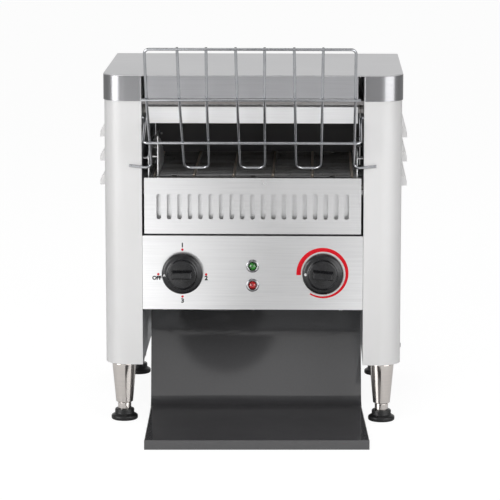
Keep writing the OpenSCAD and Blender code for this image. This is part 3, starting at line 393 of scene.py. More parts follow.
def panelSteel():
    return brushedSteel("panelSteel", (0.8, 0.8, 0.805), 0.29)


# painted light: the shield's stainless is made near white, for the bright reflection it shows; the warm
# patches are heat tint
def shieldSteel():
    steel = brushedSteel("shieldSteel", (0.94, 0.94, 0.945), 0.36)
    tint(steel, noiseOf(steel, (4, 60, 60)), (0.76, 0.73, 0.68), 0.55, 0.8, 0.4)
    return steel


def chassisSteel():
    steel = newFinish("chassisSteel", (0.5, 0.51, 0.52), 1, 0.45)
    spangle = addNode(steel, "ShaderNodeTexVoronoi", {"Scale": 1},
                      {"Vector": objectPlace(steel, (130, 130, 130))}).outputs["Color"]
    tint(steel, spangle, (0.62, 0.63, 0.65), 0.2, 0.8, 0.6)
    roughen(steel, noiseOf(steel, 60), 0.45, 0.08)
    return steel


# painted shade: the reflector steel is made dark for the dim bread tunnel; the brown patches are heat stains
def reflectorSteel():
    steel = brushedSteel("reflectorSteel", (0.36, 0.35, 0.35), 0.42)
    tint(steel, noiseOf(steel, (3, 16, 16)), (0.13, 0.1, 0.08), 0.4, 0.75, 0.8)
    return steel


def quartzTube():
    quartz = newFinish("quartzTube", (0.78, 0.76, 0.73), 0, 0.22, Coat_Weight=0.5, Coat_Roughness=0.08)
    coil = addNode(quartz, "ShaderNodeTexWave", {"Scale": 1, "Distortion": 0.3, "Detail": 1},
                   {"Vector": objectPlace(quartz, (70, 25, 25))}).outputs["Fac"]
    tint(quartz, coil, (0.36, 0.31, 0.28), 0.55, 0.95, 0.8)
    roughen(quartz, noiseOf(quartz, 40), 0.22, 0.06)
    return quartz


def ceramic():
    return patchy("ceramic", (0.82, 0.8, 0.74), 0, 0.55, (0.7, 0.67, 0.6), 300, 4, grain=(900, 0.02))


def beltSteel():
    steel = newFinish("beltSteel", (0.32, 0.32, 0.325), 1, 0.36)
    tint(steel, noiseOf(steel, (12, 40, 40)), (0.17, 0.16, 0.15), 0.4, 0.7, 0.8)
    halfStep = belt["strandStep"] / 2000
    place = objectPlace(steel, shift=(halfStep, 0, 0))
    across = addNode(steel, "ShaderNodeSeparateXYZ", links={"Vector": place}).outputs["X"]
    beside = addNode(steel, "ShaderNodeMath", {"operation": "PINGPONG", 1: halfStep}, {0: across}).outputs[0]
    strand = belt["hookHalf"] / 1000
    tint(steel, beside, (0.92, 0.84, 0.76), strand + 0.0012, strand + 0.0002)  # warmer strands, painted paler: a painted highlight on the hooks that ride on top
    roughen(steel, noiseOf(steel, 400), 0.36, 0.1)
    return steel


def wheelSteel():
    return patchy("wheelSteel", (0.36, 0.36, 0.37), 1, 0.42, (0.24, 0.22, 0.2), 250, dull=(90, 0.08))


def shaftSteel():
    steel = newFinish("shaftSteel", (0.62, 0.62, 0.62), 1, 0.24)
    ring = noiseOf(steel, (2500, 20, 20), 2)
    tint(steel, ring, (0.5, 0.5, 0.5))
    emboss(steel, ring, 0.004)
    return steel


def bushBronze():
    return patchy("bushBronze", (0.53, 0.34, 0.17), 1, 0.38, (0.38, 0.22, 0.11), 500, 4, grain=(1500, 0.01))


def chainSteel():
    return patchy("chainSteel", (0.24, 0.23, 0.22), 1, 0.34, (0.12, 0.1, 0.08), 200, dull=(120, 0.1))


def motorPaint():
    return patchy("motorPaint", (0.045, 0.047, 0.05), 0, 0.42, (0.07, 0.07, 0.075), 60, grain=(1200, 0.02))


def gearboxCast():
    cast = newFinish("gearboxCast", (0.4, 0.41, 0.42), 0.9, 0.5)
    grainy = noiseOf(cast, 900, 4)
    tint(cast, grainy, (0.3, 0.3, 0.31))
    emboss(cast, grainy, 0.05)
    return cast


def frameBlack():
    return patchy("frameBlack", (0.02, 0.02, 0.022), 0, 0.48, (0.032, 0.032, 0.034), 80, grain=(1600, 0.02))


def fanBlack():
    return patchy("fanBlack", (0.026, 0.026, 0.028), 0, 0.38, (0.04, 0.04, 0.042), 50, dull=(200, 0.06))


def guardWire():
    return patchy("guardWire", (0.13, 0.13, 0.135), 1, 0.34, (0.09, 0.09, 0.09), 150, blend=(0.5, 0.8),
                  dull=(300, 0.06))


def switchPlastic():
    return patchy("switchPlastic", (0.74, 0.72, 0.66), 0, 0.45, (0.66, 0.64, 0.57), 120, grain=(1400, 0.01))


def boardGreen():
    board = newFinish("boardGreen", (0.03, 0.17, 0.09), 0, 0.32)
    track = addNode(board, "ShaderNodeTexVoronoi", {"Scale": 1, "distance": "CHEBYCHEV"},
                    {"Vector": objectPlace(board, (260, 260, 260))}).outputs["Distance"]
    tint(board, track, (0.07, 0.27, 0.15), 0.5, 0.56)
    emboss(board, track, 0.02)
    return board


def lampChrome():
    return patchy("lampChrome", (0.36, 0.36, 0.37), 1, 0.06, (0.3, 0.3, 0.31), 150, blend=(0.5, 0.8),
                  dull=(300, 0.03))


def lampPlastic():
    return patchy("lampPlastic", (0.7, 0.7, 0.68), 0, 0.4, (0.6, 0.6, 0.58), 100)


def cutGlass(name, colour, deep):
    glass = newFinish(name, colour, 0, 0.12, Coat_Weight=0.8, Coat_Roughness=0.05)
    tint(glass, noiseOf(glass, 260, 1), deep, 0.45, 0.6)
    return glass


def greenGlass():
    return cutGlass("greenGlass", (0.035, 0.27, 0.03), (0.012, 0.1, 0.012))


def redGlass():
    return cutGlass("redGlass", (0.55, 0.012, 0.012), (0.16, 0.003, 0.004))


def knobBlack():
    return patchy("knobBlack", (0.005, 0.005, 0.006), 0, 0.27, (0.011, 0.011, 0.013), 140, dull=(90, 0.04),
                  grain=(1500, 0.01))


def bakelite():
    return patchy("bakelite", (0.11, 0.05, 0.028), 0, 0.34, (0.07, 0.03, 0.018), 300, 4, dull=(90, 0.06))


def terminalPlastic():
    return patchy("terminalPlastic", (0.76, 0.74, 0.68), 0, 0.5, (0.66, 0.63, 0.56), 150)


def rackChrome():
    return patchy("rackChrome", (0.5, 0.51, 0.53), 1, 0.16, (0.42, 0.43, 0.45), 60, blend=(0.45, 0.75),
                  dull=(220, 0.06))


def trayDark():
    dark = newFinish("trayDark", (0.06, 0.059, 0.062), 0, 0.42, Specular_IOR_Level=0.3, Coat_Weight=1,
                     Coat_IOR=1.75, Coat_Roughness=0.08)
    brushed(dark, 0.42, along="y", swing=0.05, fine=500)
    return dark


# painted reflection: the beige tint stands in for the warm reflection seen along the polished legs
def legSteel():
    return patchy("legSteel", (0.78, 0.73, 0.69), 1, 0.1, (0.72, 0.68, 0.65), (20, 20, 2200), 2,
                  dull=(80, 0.03))


def footRubber():
    return patchy("footRubber", (0.006, 0.006, 0.007), 0, 0.4, (0.012, 0.012, 0.012), 180, grain=(1300, 0.006),
                  Specular_IOR_Level=0.4)


def screwSteel():
    return patchy("screwSteel", (0.66, 0.66, 0.66), 1, 0.28, (0.52, 0.52, 0.52), 700, dull=(900, 0.08))


def redInk():
    return patchy("redInk", (0.8, 0.006, 0.018), 0, 0.7, (0.7, 0.005, 0.016), 400, Specular_IOR_Level=0.15)


def darkInk():
    return patchy("darkInk", (0.006, 0.006, 0.006), 0, 0.8, (0.012, 0.012, 0.012), 500, Specular_IOR_Level=0.1)


def whiteInk():
    return patchy("whiteInk", (0.85, 0.85, 0.84), 0, 0.45, (0.75, 0.75, 0.74), 600)


# Camera, light and floor

camera = {"lens": 201.2, "sensor": 36, "x": 75.5, "depth": -3384.9, "z": 792.8, "down": 9.66, "left": 1.332}


def placeCamera():
    clearSelection()
    bpy.ops.object.camera_add(
        location=at(camera["x"], camera["depth"], camera["z"]),
        rotation=(math.radians(90 - camera["down"]), 0, math.radians(camera["left"])))
    view = bpy.context.object
    view.data.lens = camera["lens"]
    view.data.sensor_width = camera["sensor"]
    view.data.clip_end = 50
    bpy.context.scene.camera = view


lamps = {  # metres; what lights the surfaces, while metal mirrors the cards instead
    "leftBox": {"place": (-1.35, -1.8, 0.9), "aimZ": 0.25, "size": (0.9, 1.3), "power": 8.6},
    "rightBox": {"place": (1.35, -1.8, 0.9), "aimZ": 0.25, "size": (0.9, 1.3), "power": 7.74},
    "keyBox": {"place": (-0.5, -3.0, 1.85), "aimZ": 0.25, "size": (1.1, 0.8), "power": 21},
    "topBox": {"place": (0, -0.2, 2.1), "aimZ": 0.2, "size": (2.2, 1.8), "power": 9}}


def turnTo(place, aim, axis):  # turns the axis at a place towards the aim
    return (Vector(aim) - Vector(place)).to_track_quat(axis, "Y").to_euler()


def lightStudio():
    for name, d in lamps.items():
        clearSelection()
        bpy.ops.object.light_add(type="AREA", location=d["place"],
                                 rotation=turnTo(d["place"], (0, 0, d["aimZ"]), "-Z"))
        box = bpy.context.object
        box.name = name
        box.data.shape = "RECTANGLE"
        box.data.size, box.data.size_y = d["size"]
        box.data.energy = d["power"]
        box.visible_camera = False
        box.visible_glossy = False


studio = {"background": 1.0, "ambient": 0.4, "front": 0.72, "frontSpan": (-0.9, 0.15), "above": 0.35,
          "aboveSpan": (0.35, 0.8), "aside": 0.3, "asideSpan": (0.22, 0.5)}


def combine(tree, operation, first, second):
    node = tree.nodes.new("ShaderNodeMath")
    node.operation = operation
    tree.links.new(first, node.inputs[0])
    tree.links.new(second, node.inputs[1])
    return node.outputs[0]


def lightWorld():  # white to the camera; to metal dim in front and above, and white behind the machine
    world = bpy.data.worlds.new("studioWorld")
    bpy.context.scene.world = world
    world.use_nodes = True
    tree = world.node_tree
    rays = tree.nodes.new("ShaderNodeLightPath")
    parts = tree.nodes.new("ShaderNodeSeparateXYZ")
    coordinates = tree.nodes.new("ShaderNodeTexCoord")
    tree.links.new(coordinates.outputs["Generated"], parts.inputs[0])
    d = studio
    depthwise = mapRange(tree, parts.outputs["Y"], *d["frontSpan"], d["front"], d["background"])
    upwards = mapRange(tree, parts.outputs["Z"], *d["aboveSpan"], 1, d["above"])
    squared = combine(tree, "MULTIPLY", parts.outputs["X"], parts.outputs["X"])
    sideways = mapRange(tree, squared, *d["asideSpan"], 1, d["aside"])
    shone = tree.nodes.new("ShaderNodeMix")
    shone.inputs[2].default_value = d["ambient"]
    mirroredRay = combine(tree, "MAXIMUM", rays.outputs["Is Glossy Ray"], rays.outputs["Is Transmission Ray"])
    tree.links.new(mirroredRay, shone.inputs[0])
    toMetal = combine(tree, "MULTIPLY", combine(tree, "MULTIPLY", depthwise, upwards), sideways)
    tree.links.new(toMetal, shone.inputs[3])
    final = tree.nodes.new("ShaderNodeMix")
    final.inputs[3].default_value = d["background"]
    tree.links.new(rays.outputs["Is Camera Ray"], final.inputs[0])
    tree.links.new(shone.outputs[0], final.inputs[2])
    tree.links.new(final.outputs[0], tree.nodes["Background"].inputs["Strength"])
    tree.nodes["Background"].inputs["Color"].default_value = (1, 1, 1, 1)


ground = {"size": 60, "shade": 0.86, "rough": 0.9, "glow": 1.09, "glowShare": 0.84}


def layFloor():
    clearSelection()
    bpy.ops.mesh.primitive_plane_add(size=ground["size"], location=(0, 0, 0))
    floor = bpy.context.object
    floor.name = "floor"
    material = newFinish("floorPale", [ground["shade"]] * 3, 0, ground["rough"])
    tree = material.node_tree
    rays = tree.nodes.new("ShaderNodeLightPath")
    glow = tree.nodes.new("ShaderNodeEmission")
    glow.inputs["Strength"].default_value = ground["glow"]
    share = mapRange(tree, rays.outputs["Is Camera Ray"], 0, 1, 0, ground["glowShare"])
    mix = tree.nodes.new("ShaderNodeMixShader")
    tree.links.new(share, mix.inputs[0])
    tree.links.new(shaderOf(material).outputs[0], mix.inputs[1])
    tree.links.new(glow.outputs[0], mix.inputs[2])
    tree.links.new(mix.outputs[0], tree.nodes["Material Output"].inputs["Surface"])
    floor.data.materials.append(material)


cards = {  # metres; each glows towards its aim
    "leftCard": {"place": (-1.9, -1.28, 0.7), "aim": (0, 0, 0.3), "size": (1.25, 1.7), "glow": 5.67},
    "rightCard": {"place": (1.72, -1.5, 0.7), "aim": (0, 0, 0.3), "size": (2.1, 1.7), "glow": 3.36},
    "overCard": {"place": (-0.3, -1.0, 2.35), "aim": (0, 0, 0.35), "size": (1.0, 0.6), "glow": 2}}
floorCard = {"near": -0.62, "far": -2.7, "wide": 1.6, "lift": 0.004, "middle": 0.12,
             "left": 2.2, "leftSlant": (0.05, 0.17), "right": 1.4, "rightSlant": (-0.09, -0.15)}
darkDisc = {"place": (-24, -601, 430), "lean": 65, "radius": 75, "glow": 0.02}


def onlyMirrored(sheet, strength):  # a glowing card that only polished surfaces show
    material = newFinish(sheet.name, (0.5, 0.5, 0.5), 0, 0.9)
    tree = material.node_tree
    glow = tree.nodes.new("ShaderNodeEmission")
    if callable(strength):
        tree.links.new(strength(tree), glow.inputs["Strength"])
    else:
        glow.inputs["Strength"].default_value = strength
    tree.links.new(glow.outputs[0], tree.nodes["Material Output"].inputs["Surface"])
    sheet.data.materials.append(material)
    sheet.visible_camera = False
    sheet.visible_diffuse = False
    sheet.visible_shadow = False


def gradedGlow(tree):  # bright on the left, dim in the middle
    d = floorCard
    parts = tree.nodes.new("ShaderNodeSeparateXYZ")
    tree.links.new(tree.nodes.new("ShaderNodeTexCoord").outputs["Object"], parts.inputs[0])
    slant = combine(tree, "DIVIDE", parts.outputs["X"], parts.outputs["Y"])
    leftward = mapRange(tree, slant, *d["leftSlant"], d["middle"], d["left"])
    rightward = mapRange(tree, slant, *d["rightSlant"], 0, d["right"])
    return combine(tree, "ADD", leftward, rightward)


def hangCard(name, place, aim, size, strength):
    clearSelection()
    bpy.ops.mesh.primitive_plane_add(size=1, location=place, rotation=turnTo(place, aim, "Z"))
    sheet = bpy.context.object
    sheet.scale = (*size, 1)
    onlyMirrored(settle(sheet, name), strength)


def layCards():
    d = floorCard
    middle = (d["near"] + d["far"]) / 2
    size = (d["wide"], d["near"] - d["far"])
    hangCard("gradedCard", (0, middle, d["lift"]), (0, middle, 1), size, gradedGlow)
    for name, one in cards.items():
        hangCard(name, one["place"], one["aim"], one["size"], one["glow"])
    d = darkDisc  # it stands before the tray, which mirrors it
    clearSelection()
    bpy.ops.mesh.primitive_circle_add(vertices=48, radius=d["radius"] / 1000, fill_type="NGON",
                                      location=at(*d["place"]), rotation=(math.radians(d["lean"]), 0, 0))
    onlyMirrored(settle(bpy.context.object, "darkDisc"), d["glow"])


# Casings, bands and cover

casing = {"width": 368, "depth": 306, "corner": 28, "skin": 1.1, "sheet": 1.2, "inner": 136,
          "low": 72, "high": 430.5, "slopeFrom": 273, "slopeDrop": 16, "edge": 0.3}
slopeFall = math.atan2(casing["slopeDrop"], casing["depth"] - casing["slopeFrom"])
louvre = {"heights": (291, 321, 351), "depths": (42, 160), "long": 104, "high": 14, "out": 7,
          "round": 9.8, "sheet": 1.1, "sunk": 0.6, "rim": 1.4, "mouth": 11, "edge": 0.25}


def wallRound(name, inset, sheet, low, high, turnIn=0):  # an upright sheet along the right casing's outline
    d = casing
    middle = inset + sheet / 2
    far, rear = d["width"] / 2 - middle, d["depth"] - middle
    outline = [(d["inner"], middle), (far, middle), (far, rear), (d["inner"], rear)]
    radii = [d["corner"] - middle] * 2
    if turnIn:  # its front inner edge turns in
        start = d["inner"] + sheet / 2
        outline = [(start, middle + turnIn), (start, middle), *outline[1:]]
        radii = [turnIn * 0.8, *radii]
    points = [at(x, depth, low) for x, depth in outline]
    wall = layPath(name, points)
    roundBends(wall, points, radii, 16)
    pick(wall, "EDGE")
    bpy.ops.mesh.extrude_region_move(TRANSFORM_OT_translate={"value": (0, 0, (high - low) / 1000)})
    bpy.ops.object.mode_set(mode="OBJECT")
    modify(wall, "SOLIDIFY", thickness=sheet / 1000, offset=0)
    pick(wall, "VERT")
    bpy.ops.mesh.bisect(plane_co=at(0, d["slopeFrom"], d["high"]), use_fill=True, clear_outer=True,
                        plane_no=(0, math.sin(slopeFall), math.cos(slopeFall)))
    bpy.ops.object.mode_set(mode="OBJECT")
    tidyNormals(wall)
    return wall


def pressLouvre(face):  # a hood with rounded ends, open below and towards the casing
    d = louvre
    hood = block("louvre", at(face - 3, 0, -6), at(face + d["out"], d["long"], d["high"]))
    pick(hood, "EDGE", lambda e: all(v.co.x > face / 1000 and v.co.z > 0 for v in e.verts))
    bpy.ops.mesh.bevel(offset=d["round"] / 1000, segments=7, affect="EDGES", clamp_overlap=False)
    pick(hood, "VERT")
    bpy.ops.mesh.bisect(plane_co=at(0, 0, 0), plane_no=(0, 0, -1), clear_outer=True)
    bpy.ops.mesh.select_all(action="SELECT")
    bpy.ops.mesh.bisect(plane_co=at(face - d["sunk"], 0, 0), plane_no=(-1, 0, 0), clear_outer=True)
    bpy.ops.object.mode_set(mode="OBJECT")
    tidyNormals(hood)
    modify(hood, "SOLIDIFY", thickness=d["sheet"] / 1000, offset=-1, use_even_offset=True)
    tidyNormals(hood)
    return hood


def makeCasings(paint):
    d = louvre
    wall = wallRound("rightCasing", casing["skin"], casing["sheet"], casing["low"], casing["high"])
    face = casing["width"] / 2 - casing["skin"]
    hood = pressLouvre(face)
    hoods = []
    for z in d["heights"]:
        for depth in d["depths"]:
            cutAway(wall, block("hole", at(face - 6, depth + d["rim"], z),
                                at(face + 4, depth + d["long"] - d["rim"], z + d["mouth"])))
            hoods.append(another(hood, (0, depth, z)))
    bpy.data.objects.remove(hood)
    softenEdges(wall, casing["edge"])
    for one in hoods:
        softenEdges(one, d["edge"])
    right = together("rightCasing", wall, *hoods)
    left = mirrored(right, "leftCasing")
    smooth(left)
    hand(right, "frame", "casing_paint", paint, "right_side_casing")
    hand(left, "frame", "casing_paint", paint, "left_side_casing")
    print("casings done")


band = {"sheet": 1.0, "high": 30.4, "turnIn": 1.7, "edge": 0.3}


def makeBands(steel):
    low, high = casing["high"] - band["high"], casing["high"]
    right = wallRound("rightBand", 0, band["sheet"], low, high, band["turnIn"])
    softenEdges(right, band["edge"])
    left = mirrored(right, "leftBand")
    smooth(left)
    hand(together("topBands", right, left), "frame", "band_steel", steel, "top_bands")
    print("bands done")


cover = {"sheet": 1.5, "top": 432, "edge": 0.72, "bend": 9, "steps": 5}


def makeCover(steel):  # flat, with round corners, and then folded down at the rear
    d = cover
    half = casing["width"] / 2
    slope = math.hypot(casing["slopeDrop"], casing["depth"] - casing["slopeFrom"])
    sheet = block("topCover", at(-half, 0, d["top"] - d["sheet"]),
                  at(half, casing["slopeFrom"] + slope, d["top"]))
    pick(sheet, "EDGE", lambda e: spanOf(e, 2) > 1)
    bpy.ops.mesh.bevel(offset=casing["corner"] / 1000, segments=20, affect="EDGES")
    for i in reversed(range(d["steps"])):  # folded a little at each line, the rearmost first
        shift = d["bend"] * slopeFall * (0.5 - i / (d["steps"] - 1))
        line = at(0, casing["slopeFrom"] - shift, d["top"] - d["sheet"] / 2)
        bpy.ops.mesh.select_all(action="SELECT")
        bpy.ops.mesh.bisect(plane_co=line, plane_no=(0, 1, 0))
        pick(sheet, "VERT", lambda v: v.co.y > line.y - 1e-5)
        bpy.ops.transform.rotate(value=slopeFall / d["steps"], orient_axis="X", center_override=line)
    bpy.ops.object.mode_set(mode="OBJECT")
    tidyNormals(sheet)
    softenEdges(sheet, d["edge"], 4)
    hand(sheet, "frame", "cover_steel", steel, "top_cover")
    print("cover done")


# Front panels

lip = {"width": 257, "sheet": 1.2, "line": [(16, 404.3), (1.7, 404.3), (1.7, 429.9), (12, 429.9)],
       "edge": 0.25}
shield = {"width": 257, "sheet": 1.2, "line": [(20.6, 370.8), (20.6, 391.2), (32.6, 391.2), (32.6, 397.8)],
          "bend": 1, "edge": 0.25}
panel = {"width": 271.2, "sheet": 1.5, "line": [(14, 142.75), (0.75, 142.75), (0.75, 233.25), (9, 233.25)],
         "edge": 0.5, "spindleX": 86.4, "spindleZ": 187.4, "spindleHole": 5, "lampZ": (196.4, 172.6),
         "lampHole": 6.1, "screwX": (-108.5, 0, 108.5), "screwDepth": 8, "screwZ": 142, "screwHole": 2}
vent = {"width": 266, "sheet": 1.2, "line": [(14, 237), (0.7, 237), (0.7, 305), (9, 305)], "edge": 0.3,
        "slots": 19, "step": 12.8, "slotWide": 5.6, "slotHigh": 31.4, "slotZ": 254.4,
        "flankDepth": (0.9, 11), "flankZ": (240.4, 293.6), "flankEdge": 0.25}
throughFront = (-3, 4)  # depths before and behind the panels' front sheets, for what cuts through them


def makeLip(steel):
    d = lip
    sheet = foldSheet("frontLip", d["line"], d["width"], d["sheet"], 0)
    softenEdges(sheet, d["edge"])
    hand(sheet, "frame", "lip_steel", steel, "front_lip")


def makeShield(steel):
    d = shield
    sheet = foldSheet("upperFrontShield", d["line"], d["width"], d["sheet"], d["bend"])
    softenEdges(sheet, d["edge"])
    hand(sheet, "frame", "shield_steel", steel, "upper_front_shield")


def drillFront(x, z, radius):  # what cuts a round hole through a front sheet
    before, behind = throughFront
    return roundBar("hole", at(x, before, z), at(x, behind, z), radius)


def makeControlPanel(steel):
    d = panel
    sheet = foldSheet("controlPanel", d["line"], d["width"], d["sheet"], 0)
    for side in (-1, 1):
        cutAway(sheet, drillFront(side * d["spindleX"], d["spindleZ"], d["spindleHole"]))
    for z in d["lampZ"]:
        cutAway(sheet, drillFront(0, z, d["lampHole"]))
    for x in d["screwX"]:
        cutAway(sheet, roundBar("hole", at(x, d["screwDepth"], d["screwZ"] - 4),
                                at(x, d["screwDepth"], d["screwZ"] + 4), d["screwHole"]))
    softenEdges(sheet, d["edge"], 3)
    hand(sheet, "frame", "panel_steel", steel, "control_panel")


def makeVentedPanel(steel):
    d = vent
    sheet = foldSheet("ventedPanel", d["line"], d["width"], d["sheet"], 0)
    first = -(d["slots"] - 1) / 2 * d["step"]
    before, behind = throughFront
    slot = block("slot", at(first - d["slotWide"] / 2, before, d["slotZ"]),
                 at(first + d["slotWide"] / 2, behind, d["slotZ"] + d["slotHigh"]))
    pick(slot, "EDGE", lambda e: spanOf(e, 1) > 4)
    bpy.ops.mesh.bevel(offset=d["slotWide"] / 2000 - hair, segments=8, affect="EDGES")
    bpy.ops.object.mode_set(mode="OBJECT")
    slots = [another(slot, (i * d["step"], 0, 0)) for i in range(1, d["slots"])]
    cutAway(sheet, together("slots", slot, *slots))
    softenEdges(sheet, d["edge"])
    flanks = []
    for side in (-1, 1):
        outer = side * d["width"] / 2
        inner = outer - side * d["sheet"]
        flanks.append(block("flank", at(min(outer, inner), d["flankDepth"][0], d["flankZ"][0]),
                            at(max(outer, inner), d["flankDepth"][1], d["flankZ"][1])))
        softenEdges(flanks[-1], d["flankEdge"])
    hand(together("ventedPanel", sheet, *flanks), "frame", "panel_steel", steel, "vented_front_panel")
    print("panels done")


# Dial marks on the control panel

dial = {"height": 0.08, "numeral": 7.4, "word": 6.364, "bold": 0.34, "dot": 1.5,
        "dots": ((0, 29.2), (29.2, -1.6), (0, -29.4), (-29.8, -1.6)),
        "numerals": {"1": (0, 34.6), "2": (29.2, -6.4), "3": (0, -34.8)}, "off": (-31.6, -6.4),
        "arcMiddle": 29.7, "arcFrom": 184, "arcSweep": -306, "arcSteps": 60, "arcHalf": 3,
        "ring": (25.4, 27), "ringHigh": 0.06}


def printMark(name, text, x, z, size):
    clearSelection()
    bpy.ops.object.text_add(location=(0, 0, 0))
    mark = bpy.context.object
    mark.data.body = text
    mark.data.size = size / 1000
    mark.data.align_x = "CENTER"
    mark.data.align_y = "CENTER"
    mark.data.extrude = dial["height"] / 2000
    mark.data.offset = dial["bold"] / 1000
    bpy.ops.object.convert(target="MESH")
    mark = bpy.context.object
    mark.rotation_euler = (math.pi / 2, 0, 0)
    mark.location = at(x, -dial["height"] / 2, z)
    return settle(mark, name)


def drawArc(x, z):  # it grows thinner on its way round
    d = dial
    count = d["arcSteps"]
    start, sweep = math.radians(d["arcFrom"]), math.radians(d["arcSweep"])
    ring = []
    for i in range(count + 1):
        a = start + sweep * i / count
        ring.append(at(x + d["arcMiddle"] * math.cos(a), -d["height"] / 2, z + d["arcMiddle"] * math.sin(a)))
    arc = layPath("arc", ring)
    activate(arc)
    bpy.ops.object.convert(target="CURVE")
    arc.data.bevel_depth = 0.001
    arc.data.bevel_resolution = 3
    arc.data.use_fill_caps = True
    for i, point in enumerate(arc.data.splines[0].points):
        share = i / count
        point.radius = d["arcHalf"] * (1 - 0.4 * share - 0.28 * share ** 2)
    bpy.ops.object.convert(target="MESH")
    pick(arc, "VERT")
    bpy.ops.transform.resize(value=(1, 0.02, 1), center_override=at(0, -d["height"] / 2, 0))
    bpy.ops.object.mode_set(mode="OBJECT")
    tidyNormals(arc)
    return arc


def makeDial(red, dark, white):
    d = dial
    x, z = panel["spindleX"], panel["spindleZ"]
    dots = [roundBar("dot", at(dx - x, -d["height"], z + dz), at(dx - x, 0, z + dz), d["dot"], 24)
            for dx, dz in d["dots"]]
    hand(together("redDialMarks", drawArc(x, z), *dots), "frame", "panel_steel", red)
    marks = [printMark("numeral", text, dx - x, z + dz, d["numeral"])
             for text, (dx, dz) in d["numerals"].items()]
    marks.append(printMark("off", "OFF", d["off"][0] - x, z + d["off"][1], d["word"]))
    hand(together("darkDialMarks", *marks), "frame", "panel_steel", dark)
    low, high = d["ring"]
    profile = [(low, 0), (high, 0), (high, d["ringHigh"]), (low, d["ringHigh"]), (low, 0)]
    rim = turnProfile("paleDialRing", profile, at(x, 0, z), Vector((0, -1, 0)), 96)
    smooth(rim, 30)
    hand(rim, "frame", "panel_steel", white)
    print("dial done")


# Knobs

knob = {"radius": 25.3, "gap": 1, "disc": 8, "bore": 3.1, "hub": 18, "hubOut": 5, "tilt": 5,
        "gripLong": 26, "gripHigh": 12.4, "gripOut": 9,
        "faceLong": 23.4, "faceHigh": 7.4, "faceRim": 1.1, "faceSunk": 0.5, "ink": 0.08,
        "triangle": {"x": -22, "z": -1.6, "radius": 2.2}, "dot": {"x": -21.3, "z": 0, "radius": 1.7}}


def shapeKnob(name, x, tilt):
    d = knob
    r, front = d["radius"], d["gap"] + d["disc"]
    hubFront = front + d["hubOut"]
    hub = d["hub"]
    profile = [(d["bore"], d["gap"]), (r - 1, d["gap"]), (r, d["gap"] + 1.2), (r, front - 3.2),
               (r - 0.9, front - 1.6), (r - 2.6, front - 0.4), (r - 5, front), (hub + 1.2, front + 0.4),
               (hub + 0.3, front + 1), (hub - 0.6, hubFront - 0.9), (hub - 2, hubFront), (0, hubFront + 0.2)]
    z = panel["spindleZ"]
    centre = at(x, 0, z)
    body = turnProfile(name, profile, centre, Vector((0, -1, 0)), 72)
    smooth(body, 40)
    face = at(x, -hubFront - d["gripOut"], z)
    grip = block("grip", at(x - d["gripLong"] / 2, -hubFront - d["gripOut"], z - d["gripHigh"] / 2),
                 at(x + d["gripLong"] / 2, -hubFront + 1.5, z + d["gripHigh"] / 2))
    pick(grip, "FACE", lambda f: all(abs(v.co.y - face.y) < hair for v in f.verts))
    bpy.ops.transform.resize(value=(d["faceLong"] / d["gripLong"], 1, d["faceHigh"] / d["gripHigh"]),
                             center_override=face)
    bpy.ops.mesh.inset(thickness=d["faceRim"] / 1000)
    bpy.ops.transform.translate(value=(0, d["faceSunk"] / 1000, 0))
    bpy.ops.object.mode_set(mode="OBJECT")
    softenEdges(grip, 0.45, 3, 20)
    piece = together(name, body, grip)
    if tilt:
        pick(piece, "VERT")
        bpy.ops.transform.rotate(value=math.radians(-tilt), orient_axis="Y", center_override=centre)
        bpy.ops.object.mode_set(mode="OBJECT")
    return piece


def markKnob(name, x, mark, sides):  # a thin mark on the knob's disc
    front = knob["gap"] + knob["disc"]
    x, z = x + mark["x"], panel["spindleZ"] + mark["z"]
    return roundBar(name, at(x, -front - knob["ink"], z), at(x, -front + 0.5, z), mark["radius"], sides)


def makeKnobs(black, white):
    d = knob
    x = panel["spindleX"]
    hand(shapeKnob("elementKnob", -x, 0), "element_control", "black_plastic", black, "element_knob")
    hand(shapeKnob("speedKnob", x, d["tilt"]), "speed_setting", "black_plastic", black, "speed_knob")
    hand(markKnob("elementPointer", -x, d["triangle"], 3), "element_control", "black_plastic", white)
    hand(markKnob("speedPointer", x, d["dot"], 24), "speed_setting", "black_plastic", white)
    print("knobs done")


# Pilot lamps

lamp = {"ring": [(4.95, 1), (4.95, 1.4), (5.1, 2.2), (5.7, 2.9), (6.6, 3.1), (7.5, 2.6), (8.1, 1.2),
                 (8.1, 0.05), (6, 0.05), (6, -7.5), (5.05, -7.5)], "lens": 5.145, "facet": 0.15}


def cutLens(name, z):  # a facetted dome
    clearSelection()
    bpy.ops.mesh.primitive_uv_sphere_add(segments=8, ring_count=8, radius=lamp["lens"] / 1000,
                                         location=at(0, 0.2, z), rotation=(math.pi / 2, 0, 0))
    lens = settle(bpy.context.object, name)
    pick(lens, "VERT")
    bpy.ops.mesh.bisect(plane_co=at(0, -1, z), plane_no=(0, 1, 0), clear_outer=True, use_fill=True)
    bpy.ops.object.mode_set(mode="OBJECT")
    softenEdges(lens, lamp["facet"], 1, 5)
    smooth(lens, 5)
    return lens


def makeLamps(chrome, green, red):
    rings = []
    for z in panel["lampZ"]:
        rings.append(turnProfile("ring", lamp["ring"], at(0, 0, z), Vector((0, -1, 0)), 48))
        smooth(rings[-1], 50)
    hand(together("lampRings", *rings), "frame", "lamp_chrome", chrome, "lamp_rings")
    upper, lower = panel["lampZ"]
    hand(cutLens("greenLens", upper), "frame", "green_glass", green, "green_lens")
    hand(cutLens("redLens", lower), "frame", "red_glass", red, "red_lens")
    print("lamps done")


# Belt

belt = {"wire": 0.95, "wide": 255, "pitch": 12.7, "run": 17, "teeth": 10, "depth": 36, "z": 282.687,
        "radius": 20.213, "strands": 6, "strandStep": 48.8,
        "hookHalf": 1.15, "hookBend": 1.1, "hookLift": 1.1}


